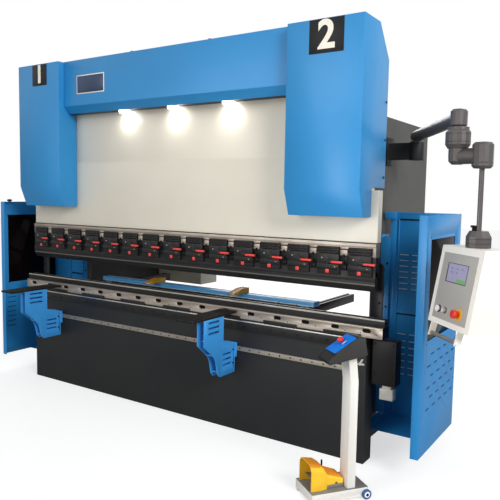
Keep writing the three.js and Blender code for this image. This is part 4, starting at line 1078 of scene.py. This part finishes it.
gauge_black = finish(
    "gauge_black", (34, 34, 36), (46, 46, 48), patches=(8, 0.6), grain=(300, 0.2, 0.00004),
    rough=(0.34, 0.15), metallic=0.4, gloss=0.2,
)
for side, sign in sides:
    track_low, track_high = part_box(f"{side}_gauge_rail")
    middle = (track_low.x + track_high.x) / 2
    channel = bmesh.new()
    block(
        channel, (middle - 0.01, 0.095, track_high.z - 0.045),
        (middle + 0.01, track_high.y + 0.01, track_high.z + 0.01),
    )
    refined(f"{side}_gauge_rail", gauge_black, 0.002, cutter=channel)
# The beam's blue is far paler than the covers' paint: painted light and painted reflection of the sky on a
# beam that stands in the shaded throat.
gauge_beam_lightened = finish(
    "gauge_beam_blue", (96, 180, 242), (88, 170, 232), patches=(3, 0.6), grain=(420, 0.06, 0.00005),
    rough=(0.28, 0.1),
)
refined("gauge_beam", gauge_beam_lightened, 0.002)
gauge_low, gauge_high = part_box("gauge_beam")
fitted("gauge_beam_strips", blocks(
    ((gauge_low.x + 0.01, gauge_low.y - 0.0015, gauge_low.z + 0.0065),
    (gauge_high.x - 0.01, gauge_low.y + 0.001, gauge_low.z + 0.0125), 0.0006),
    ((gauge_low.x + 0.01, gauge_high.y - 0.014, gauge_high.z - 0.0005),
    (gauge_high.x - 0.01, gauge_high.y - 0.006, gauge_high.z + 0.0008), 0.0002),
), [bright_steel], body="gauge")
fitted("gauge_beam_rib", blocks(
    ((-0.893, gauge_low.y + 0.006, gauge_low.z - 0.036),
    (0.893, gauge_high.y - 0.01, gauge_low.z + 0.0005), 0.002),
), [gauge_black], body="gauge")
stop_yellow = finish(
    "stop_yellow", (240, 172, 38), (226, 156, 30), patches=(12, 0.6), grain=(400, 0.1, 0.00005),
    rough=(0.4, 0.12),
)
for side, _ in sides:
    refined(f"{side}_gauge_finger", [stop_yellow, ground_steel], 0.002,
            second=lambda normal, middle: middle.y < 0.185)
    finger_low, finger_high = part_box(f"{side}_gauge_finger")
    rows(
        f"{side}_finger_screws", screw_head(0.005, 0.003, facing=(0, 0, 1)), screw_black,
        (finger_low.x + 0.015, finger_high.y - 0.05, finger_high.z), (0.03, 0, 0), 2, (0, 0.028, 0), 2,
        body=f"{side}_finger",
    )

# ---- Front supports ----
# Two blue sheet brackets slide along the guide rail. Each has slotted side plates joined by cross
# rods, a black clamping knob, and a black table whose edges are rubbed bare.

# The brackets' edges are mixed towards a pale blue by the edge mask: painted highlight along the folds.
support_blue = wear_and_highlight_edges(finish(
    "support_blue", (60, 150, 220), (56, 142, 210), patches=(3, 0.6), grain=(420, 0.06, 0.00006),
    rough=(0.36, 0.12),
), (150, 185, 210), width=0.0012, share=0.25)
table_black = wear_and_highlight_edges(finish(
    "table_black", (20, 20, 19), (29, 28, 27), patches=(10, 0.7), grain=(160, 0.3, 0.00008),
    rough=(0.7, 0.2), gloss=0.1, grain_colour=(48, 46, 43), grain_stretch=(1, 0.2, 1),
), (120, 112, 104), width=0.003, share=0.6)
for side, _ in sides:
    body = f"{side}_support"
    arm_low, arm_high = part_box(f"{side}_support_bracket")
    top_low, top_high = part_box(f"{side}_support_table")
    middle = (top_low.x + top_high.x) / 2
    ears = bmesh.new()
    for near, far in ((-0.07, -0.029), (0.035, 0.07)):
        block(
            ears, (middle + near, arm_low.y - 0.01, arm_low.z - 0.01),
            (middle + far, arm_high.y + 0.01, arm_high.z + 0.01),
        )
    refined(f"{side}_support_bracket", support_blue, 0.0012, cutter=ears)
    fitted(f"{side}_support_table", blocks(
        ((middle - 0.102, top_low.y - 0.012, top_low.z), (middle + 0.032, top_high.y, top_high.z), 0.0015),
    ), [table_black], body=body, nodes=[f"{side}_support_table"])
    slot = bmesh.new()
    # The slot in the side plate is a thin black strip: painted shade in the slot.
    block(slot, (middle + 0.0279, -0.076, 0.44), (middle + 0.0284, -0.072, 0.59))
    turned(slot, [(0.007, 0), (0.007, 0.012), (0.011, 0.014), (0.011, 0.026), (0, 0.026)],
           (middle + 0.012, -0.061, 0.56), (0, -1, 0), 16)
    for z in (0.56, 0.47):
        turned(
            slot, [(0.006, 0), (0.006, 0.002), (0.004, 0.003), (0, 0.003)], (middle + 0.028, -0.084, z),
            (1, 0, 0), 12,
        )
    fitted(f"{side}_support_slot", slot, [screw_black], body=body)
    rods = bmesh.new()
    for y, z in ((-0.36, 0.66), (-0.3, 0.56), (-0.238, 0.44)):
        turned(rods, [(0.005, 0), (0.005, 0.05)], (middle - 0.025, y, z), (1, 0, 0), 12)
    fitted(f"{side}_support_rods", rods, [support_blue], body=body)
    rows(
        f"{side}_table_screws", screw_head(0.006, 0.0015, facing=(0, 0, 1)), screw_black,
        (middle, top_low.y + 0.04, top_high.z), (0, 0.12, 0), 4, body=body,
    )

# ---- Control arm ----
# A brown-grey aluminium arm in two tubes carries the control box. Its cast joints turn on upright
# pins, with a thin seam where each half meets, and a post hangs from the last one.

arm_brown = finish(
    "arm_brown", (88, 83, 82), (80, 76, 75), patches=(8, 0.6), grain=(500, 0.15, 0.00006),
    rough=(0.42, 0.15), metallic=0.35,
)
seam_dark = finish(
    "seam_dark", (38, 36, 36), (46, 44, 43), patches=(20, 0.5), grain=(500, 0.1, 0.00002), rough=(0.5, 0.1),
    gloss=0.2,
)
refined("pendant_bracket", charcoal_enamel, 0.003)
shoulder, elbow, wrist = Vector((1.564, 0.509, 0)), Vector((2.021, -0.256, 0)), Vector((2.15, -0.3, 0))
tube_radius, cap_radius = 0.035, 0.0595


def housing(half_x, half_y, bottom, top, corner, centre, turn):
    """A cast joint housing: a block with cut corners, turned about its upright axis."""
    outline = [
        (half_x, half_y - corner), (half_x - corner, half_y),
        (corner - half_x, half_y), (-half_x, half_y - corner),
        (-half_x, corner - half_y), (corner - half_x, -half_y),
        (half_x - corner, -half_y), (half_x, corner - half_y),
    ]
    shape = bmesh.new()
    prism(shape, outline, "Z", (bottom, top), corner * 0.6, 1)
    shape.transform(Matrix.Translation(centre) @ Matrix.Rotation(math.radians(turn), 4, "Z"))
    return shape


reach = elbow - shoulder
arm = housing(0.034, 0.04, 1.9178, 2.003, 0.016, elbow, -22)
along_arm = reach.normalized()
turned(
    arm, [(0.029, 0), (tube_radius, 0.006), (tube_radius, 0.04 + reach.length)],
    shoulder - along_arm * 0.04 + Vector((0, 0, 1.963)), along_arm, 32,
)
turned(
    arm, [(0.04, 0), (0.04, 0.01), (0.033, 0.014), (0.033, 0.045)], shoulder + Vector((0, 0, 1.9178)),
    steps=20,
)
fitted(
    "first_arm_tube", arm, [arm_brown], body="first_arm", nodes=["pendant_first_arm"],
    angle=15,
)
arm = housing(0.044, 0.044, 1.716, 1.838, 0.019, wrist, -25)
bend = wrist - elbow
turned(arm, [(0.038, 0), (0.038, bend.length)], elbow + Vector((0, 0, 1.7765)), bend.normalized(), 28)
turned(
    arm, [(0.048, 0), (cap_radius, 0.018), (cap_radius, 0.078), (0.051, 0.0905), (0.051, 0.1015)],
    elbow + Vector((0, 0, 1.8155)), steps=18,
)
turned(
    arm, [(0.026, 0), (0.041, 0.014), (0.043, 0.04), (0.043, 0.08)], elbow + Vector((0, 0, 1.738)),
    steps=14,
)
fitted(
    "second_arm_joints", arm, [arm_brown], body="second_arm",
    nodes=["pendant_second_arm"], angle=15,
)
base = bmesh.new()
turned(
    base, [(0.058, 0), (cap_radius, 0.006), (cap_radius, 0.052), (0.044, 0.0795)],
    wrist + Vector((0, 0, 1.3415)), steps=12,
)
turned(base, [(0.012, 0), (0.012, 0.296)], wrist + Vector((0, 0, 1.42)), steps=24)
fitted(
    "post_and_base", base, [arm_brown], body="control", nodes=["pendant_post"], angle=15,
)


def seam_ring(shape, centre, z, steps=18):
    """A thin dark band around a joint, where its halves meet."""
    inner, outer = cap_radius - 0.002, cap_radius + 0.0004
    turned(shape, [(inner, -0.001), (outer, -0.001), (outer, 0.001), (inner, 0.001)],
           centre + Vector((0, 0, z)), steps=steps)


fitted("wrist_seam", housing(0.0443, 0.0443, 1.742, 1.7436, 0.019, wrist, -25), [seam_dark],
       body="second_arm")
seams = bmesh.new()
for z in (1.846, 1.884):
    seam_ring(seams, elbow, z)
fitted("elbow_seams", seams, [seam_dark], body="second_arm")
seams = bmesh.new()
for z in (1.362, 1.384):
    seam_ring(seams, wrist, z, 12)
fitted("base_seams", seams, [seam_dark], body="control")

# ---- Control box ----
# A folded box in off-white enamel with a sloping front and rounded edges. A grey panel on its front
# holds a screen, a start button, a selector and an emergency stop. A handle bar hangs below.

box_place = Matrix.Translation(wrist) @ Matrix.Rotation(math.radians(-44.5), 4, "Z")
box_top, box_bottom, front_top, front_bottom = 1.341, 0.96, -0.075, -0.142
box_lean = math.atan2(front_top - front_bottom, box_top - box_bottom)
face_place = box_place @ Matrix.Translation((0, front_top, box_top)) @ Matrix.Rotation(-box_lean, 4, "X")
area_lamp("box_light", (1.15, -1.75, 1.35), (2.05, -0.35, 1.15), 0.7, 8)
box_white = finish(
    "box_white", (250, 244, 234), (244, 238, 227), patches=(5, 0.5), grain=(500, 0.06, 0.00006),
    rough=(0.4, 0.1),
)
panel_grey = finish(
    "panel_grey", (176, 173, 166), (168, 165, 159), patches=(8, 0.5), grain=(600, 0.15, 0.00003),
    rough=(0.42, 0.1),
)
refined("control_box", box_white, 0.005, segments=3, angle=40)
fitted("box_panel", blocks(
    ((-0.154, -0.0012, -0.36), (0.141, 0.0, -0.033), 0.0006),
), [panel_grey], body="control", place=face_place)
bezel = finish(
    "screen_bezel", (52, 58, 84), (46, 52, 76), patches=(20, 0.5), grain=(700, 0.1, 0.00001),
    rough=(0.3, 0.08),
)
refined("operator_screen", bezel, 0.0008)
screen_glow = finish(
    "screen_glow", (168, 164, 196), (158, 154, 190), patches=(12, 0.5), grain=(300, 0.06, 0.00001),
    rough=(0.25, 0.05),
)
screen_marks = finish(
    "screen_marks", (112, 108, 146), (120, 116, 150), patches=(60, 0.5), grain=(700, 0.1, 0.00001),
    rough=(0.3, 0.05),
)
screen_green = finish(
    "screen_green", (126, 186, 112), (110, 172, 98), patches=(60, 0.6), grain=(700, 0.1, 0.00001),
    rough=(0.3, 0.05),
)
screen_front = -0.0029
fitted("screen_face", blocks(
    ((-0.089, screen_front, -0.1705), (0.076, -0.001, -0.0825)),
), [screen_glow], body="control", place=face_place)
marks = bmesh.new()
for column, row in ((0, 0), (1, 0), (2, 0), (0, 1), (1, 1)):
    block(marks, (-0.062 + column * 0.046, screen_front - 0.0002, -0.107 - row * 0.02),
          (-0.048 + column * 0.046, screen_front, -0.101 - row * 0.02))
fitted("screen_marks", marks, [screen_marks], body="control", place=face_place)
fitted("screen_keys", blocks(
    ((-0.004, screen_front - 0.0002, -0.17), (0.074, screen_front, -0.152)),
), [screen_green], body="control", place=face_place)

drop, handle_y, handle_z = -0.312, -0.1425, 0.905
ring_grey = finish(
    "ring_grey", (70, 70, 74), (60, 60, 64), patches=(30, 0.5), grain=(700, 0.1, 0.00001),
    rough=(0.3, 0.08), metallic=0.3,
)
rings = bmesh.new()
for x, wide in ((-0.102, 0.0185), (-0.048, 0.016)):
    turned(rings, [(0.008, 0), (wide, 0), (wide, 0.0022), (wide - 0.0015, 0.0032), (0.008, 0.0032)],
           (x, -0.0011, drop), (0, -1, 0), 24)
fitted("button_rings", rings, [ring_grey], body="control", place=face_place)
button_white = finish(
    "button_white", (246, 246, 244), (238, 238, 236), patches=(30, 0.5), grain=(700, 0.06, 0.00001),
    rough=(0.28, 0.06),
)
selector_grey = finish(
    "selector_grey", (178, 170, 158), (168, 160, 148), patches=(30, 0.5), grain=(700, 0.08, 0.00001),
    rough=(0.34, 0.08),
)
stop_red = finish(
    "stop_red", (228, 44, 38), (214, 36, 32), patches=(30, 0.5), grain=(700, 0.06, 0.00001),
    rough=(0.3, 0.08),
)
ring_yellow = finish(
    "ring_yellow", (250, 190, 40), (240, 178, 34), patches=(30, 0.5), grain=(700, 0.06, 0.00001),
    rough=(0.35, 0.08),
)
refined("start_button", button_white, 0.0015, segments=3)
refined("selector_switch", selector_grey, 0.0015, segments=3)
refined("emergency_stop", stop_red, 0.003, segments=3)
fitted("start_cap", turning(
    [(0.0155, 0), (0.0155, 0.004), (0.014, 0.006), (0, 0.0064)], (-0.102, -0.0112, drop), (0, -1, 0), 28,
), [button_white], body="start", place=face_place)
fitted("selector_cap", turning(
    [(0.013, 0), (0.013, 0.008), (0.0115, 0.01), (0, 0.01)], (-0.048, -0.005, drop), (0, -1, 0), 24,
), [selector_grey], body="selector", place=face_place)
fitted("selector_grip", blocks(
    ((-0.0505, -0.0185, drop - 0.0095), (-0.0455, -0.0145, drop + 0.0095), 0.001),
), [button_white], body="selector", place=face_place)
fitted("stop_collar", turning(
    [(0.01, 0), (0.029, 0), (0.029, 0.0014), (0.028, 0.0022), (0.01, 0.0022)], (0.072, -0.0011, drop),
    (0, -1, 0), 36,
), [ring_yellow], body="control", place=face_place)
fitted("handle_sleeve", turning(
    [(0.0098, 0), (0.0098, 0.243), (0, 0.243)], (-0.149, handle_y, handle_z), (1, 0, 0), 20,
), [ground_steel], body="control", place=box_place)
fitted("handle_cap", turning(
    [(0.0112, 0), (0.0118, 0.003), (0.0118, 0.009), (0.0085, 0.0125), (0, 0.013)], (0.09, handle_y, handle_z),
    (1, 0, 0), 20,
), [button_white], body="control", place=box_place)
fitted("post_clamp", blocks(
    ((-0.036, -0.016, 1.4), (-0.008, 0.012, 1.44), 0.002),
    ((-0.042, -0.02, 1.436), (0.0, -0.004, 1.447), 0.002),
), [screw_black], body="control", place=box_place)

# ---- Foot-switch stand ----
# A free-standing stand: a white bent post on a wheeled base, a dark wedge head with a blue panel and
# an emergency stop, a yellow hooded foot switch on the deck, and a wing screw below the head.

stand_place = Matrix.Translation((1.6, -0.45, 0)) @ Matrix.Rotation(math.radians(53.13), 4, "Z")
stand_white = finish(
    "stand_white", (238, 235, 229), (230, 226, 218), patches=(4, 0.5), grain=(450, 0.06, 0.00006),
    rough=(0.4, 0.1),
)
deck_grey = finish(
    "deck_grey", (128, 126, 122), (112, 110, 106), patches=(14, 0.6), grain=(250, 0.2, 0.0001),
    rough=(0.5, 0.15),
)
head_grey = finish(
    "head_grey", (58, 57, 56), (52, 51, 50), patches=(6, 0.5), grain=(700, 0.3, 0.00012), rough=(0.55, 0.1),
    gloss=0.2, grain_colour=(52, 50, 50),
)
panel_blue = finish(
    "panel_blue", (0, 112, 206), (0, 104, 194), patches=(12, 0.5), grain=(600, 0.05, 0.00002),
    rough=(0.55, 0.08), gloss=0.2,
)
refined("pedestal_base", [stand_white, deck_grey], 0.003,
        second=lambda normal, middle: normal.z > 0.9 and middle.z > 0.055)
post = whole_faces("pedestal_post")
post_middle = stand_place @ Matrix.Translation((0, 0.023, 0))
post.transform(post_middle @ Matrix.Diagonal((0.9, 0.8, 1, 1)) @ post_middle.inverted())
stand_post = undressed(post, "pedestal_post_finished", [stand_white])
rounded(stand_post, 0.002)
dress(stand_post, [stand_white], "machine", ["pedestal_post"])
head_side = (stand_place.to_3x3() @ Vector((0, 1, 0))).normalized()
refined("pedestal_head", [head_grey, plate_black], 0.004, segments=3,
        second=lambda normal, middle: abs(normal.dot(head_side)) < 0.5)
refined("pedestal_emergency_stop", stop_red, 0.003, segments=3)


def slope_place(x_low, z_low, x_high, z_high):
    """A frame on a slope of the stand's head: +X runs up the slope and +Z points out of it."""
    along = Vector((x_high - x_low, 0, z_high - z_low)).normalized()
    out = Vector((-along.z, 0, along.x))
    return stand_place @ Matrix((
        (along.x, 0, out.x, x_low), (0, 1, 0, 0), (along.z, 0, out.z, z_low), (0, 0, 0, 1),
    ))


head_top = slope_place(-0.129, 0.796, -0.006, 0.868)
slope_length = math.hypot(0.123, 0.072)
fitted("head_top_skin", blocks(
    ((-0.014, -0.058, 0.0), (slope_length - 0.002, 0.058, 0.0015), 0.0005),
), [plate_black], place=head_top)
fitted("head_panel", blocks(
    ((-0.008, -0.053, 0.0012), (slope_length - 0.01, 0.053, 0.0032), 0.0006),
), [panel_blue], place=head_top)
fitted("head_toggle", turning(
    [(0.004, 0), (0.003, 0.03), (0, 0.031)], (slope_length * 0.42, -0.018, 0.003), (0.5, -0.4, 0.25), 12,
), [bright_steel], place=head_top)
wing_x, wing_z, wing_length, wing_thickness = 0.046, 0.708, 0.0135, 0.006
wing = bmesh.new()
turned(wing, [(0.005, 0), (0.005, 0.022), (0, 0.022)], (0.022, 0.02, wing_z), (1, 0, 0), 14)
turned(wing, [(0.008, 0), (0.008, 0.012)], (wing_x, 0.014, wing_z), (0, 1, 0), 14)
for lean in (0.9, -0.25):
    lobe = []
    for k in range(14):
        turn = 2 * math.pi * k / 14
        out, aside = 0.017 + wing_length * math.cos(turn), wing_thickness * math.sin(turn)
        lobe.append((wing_x + out * math.cos(lean) - aside * math.sin(lean),
                     wing_z + out * math.sin(lean) + aside * math.cos(lean)))
    prism(wing, lobe, "Y", (0.0175, 0.0225), 0.001, 1)
fitted("wing_screw", wing, [bright_steel], place=stand_place)

hood_yellow = finish(
    "hood_yellow", (250, 200, 44), (240, 178, 32), patches=(10, 0.6), grain=(350, 0.12, 0.0001),
    rough=(0.36, 0.1),
)
pedal_grey = finish(
    "pedal_grey", (96, 96, 96), (84, 84, 84), patches=(16, 0.5), grain=(300, 0.2, 0.0001), rough=(0.45, 0.1),
)


def arch(half, bottom, top, corner, steps=6):
    """The outline of the hood across the pedal: two upright sides under a rounded top."""
    middle = 0.075
    rim = [(middle - half, bottom)]
    for centre, start in ((middle - half + corner, math.pi), (middle + half - corner, math.pi / 2)):
        for k in range(steps + 1):
            turn = start - math.pi * 0.5 * k / steps
            rim.append((centre + corner * math.cos(turn), top - corner + corner * math.sin(turn)))
    return rim + [(middle + half, bottom)]


def lofted(shape, stations):
    """Adds a solid through outlines that stand at stations along the hood's length."""
    rims = [[shape.verts.new((x, y, z)) for y, z in rim] for x, rim in stations]
    for near, far in zip(rims, rims[1:]):
        for k in range(len(near)):
            shape.faces.new([near[k], near[(k + 1) % len(near)], far[(k + 1) % len(far)], far[k]])
    shape.faces.new(rims[0])
    shape.faces.new(rims[-1])


deck_z, skid_top = 0.0605, 0.0795
hood = bmesh.new()
lofted(hood, [
    (-0.222, arch(0.075, deck_z, 0.2, 0.04)), (-0.165, arch(0.074, deck_z, 0.19, 0.04)),
    (-0.14, arch(0.07, deck_z, 0.172, 0.036)), (-0.126, arch(0.066, deck_z, 0.144, 0.026)),
    (-0.124, arch(0.064, skid_top, 0.142, 0.024)), (-0.029, arch(0.06, skid_top, 0.106, 0.012)),
])
mouth = bmesh.new()
lofted(mouth, [(-0.23, arch(0.069, 0.05, 0.195, 0.036)), (-0.165, arch(0.068, 0.05, 0.184, 0.036)),
               (-0.13, arch(0.06, 0.05, 0.14, 0.024))])
for shape in (hood, mouth):
    shape.transform(stand_place)
    bmesh.ops.recalc_face_normals(shape, faces=shape.faces)
hood_orange = finish(
    "hood_orange", (226, 148, 40), (214, 134, 34), patches=(10, 0.6), grain=(350, 0.15, 0.0001),
    rough=(0.5, 0.1), gloss=0.3,
)
shell = carved(undressed(hood, "pedal_hood_finished", [hood_yellow, hood_orange]), mouth)
shell.data.shade_smooth()
shell.data.set_sharp_from_angle(angle=math.radians(35))
rounded(shell, 0.0012, 2, 40)
for face in shell.data.polygons:
    face.material_index = int(face.normal.z > 0.75)
dress(shell, [hood_yellow, hood_orange], "machine", ["pedal_hood"])
ribs = bmesh.new()
for y in (0.04, 0.0575, 0.075, 0.0925, 0.11):
    prism(
        ribs, [(-0.122, 0.13), (-0.122, 0.1455), (-0.03, 0.11), (-0.03, 0.095)], "Y",
        (y - 0.0035, y + 0.0035), 0.0008, 1,
    )
fitted("hood_ribs", ribs, [hood_orange], place=stand_place)
fitted("hood_skid", blocks(
    ((-0.122, 0.013, deck_z - 0.0002), (-0.027, 0.137, skid_top), 0.003),
), [deck_grey], place=stand_place)
fitted("hood_latch", blocks(
    ((-0.112, 0.112, 0.13), (-0.104, 0.12, 0.172), 0.0015),
), [screw_black], place=stand_place)
refined("pedal", pedal_grey, 0.0015)
wheel_blue = finish(
    "wheel_blue", (34, 84, 150), (28, 74, 136), patches=(20, 0.5), grain=(500, 0.15, 0.0001),
    rough=(0.55, 0.1),
)
refined("pedestal_wheels", wheel_blue, 0.002)
wheel_points = frame["nodes"]["pedestal_wheels"].data.vertices
wheel_side = min((stand_place.inverted() @ point.co).y for point in wheel_points)
hub_centre = (0.08, wheel_side, 0.026)
fitted("wheel_hub", turning(
    [(0.0165, -0.001), (0.0165, 0.0006), (0.015, 0.0012), (0, 0.0012)], hub_centre, (0, -1, 0), 24,
), [stand_white], body="wheels", place=stand_place)
fitted("wheel_axle_end", turning(
    [(0.0075, -0.001), (0.0075, 0.0024), (0, 0.0024)], hub_centre, (0, -1, 0), 16,
), [screw_black], body="wheels", place=stand_place)
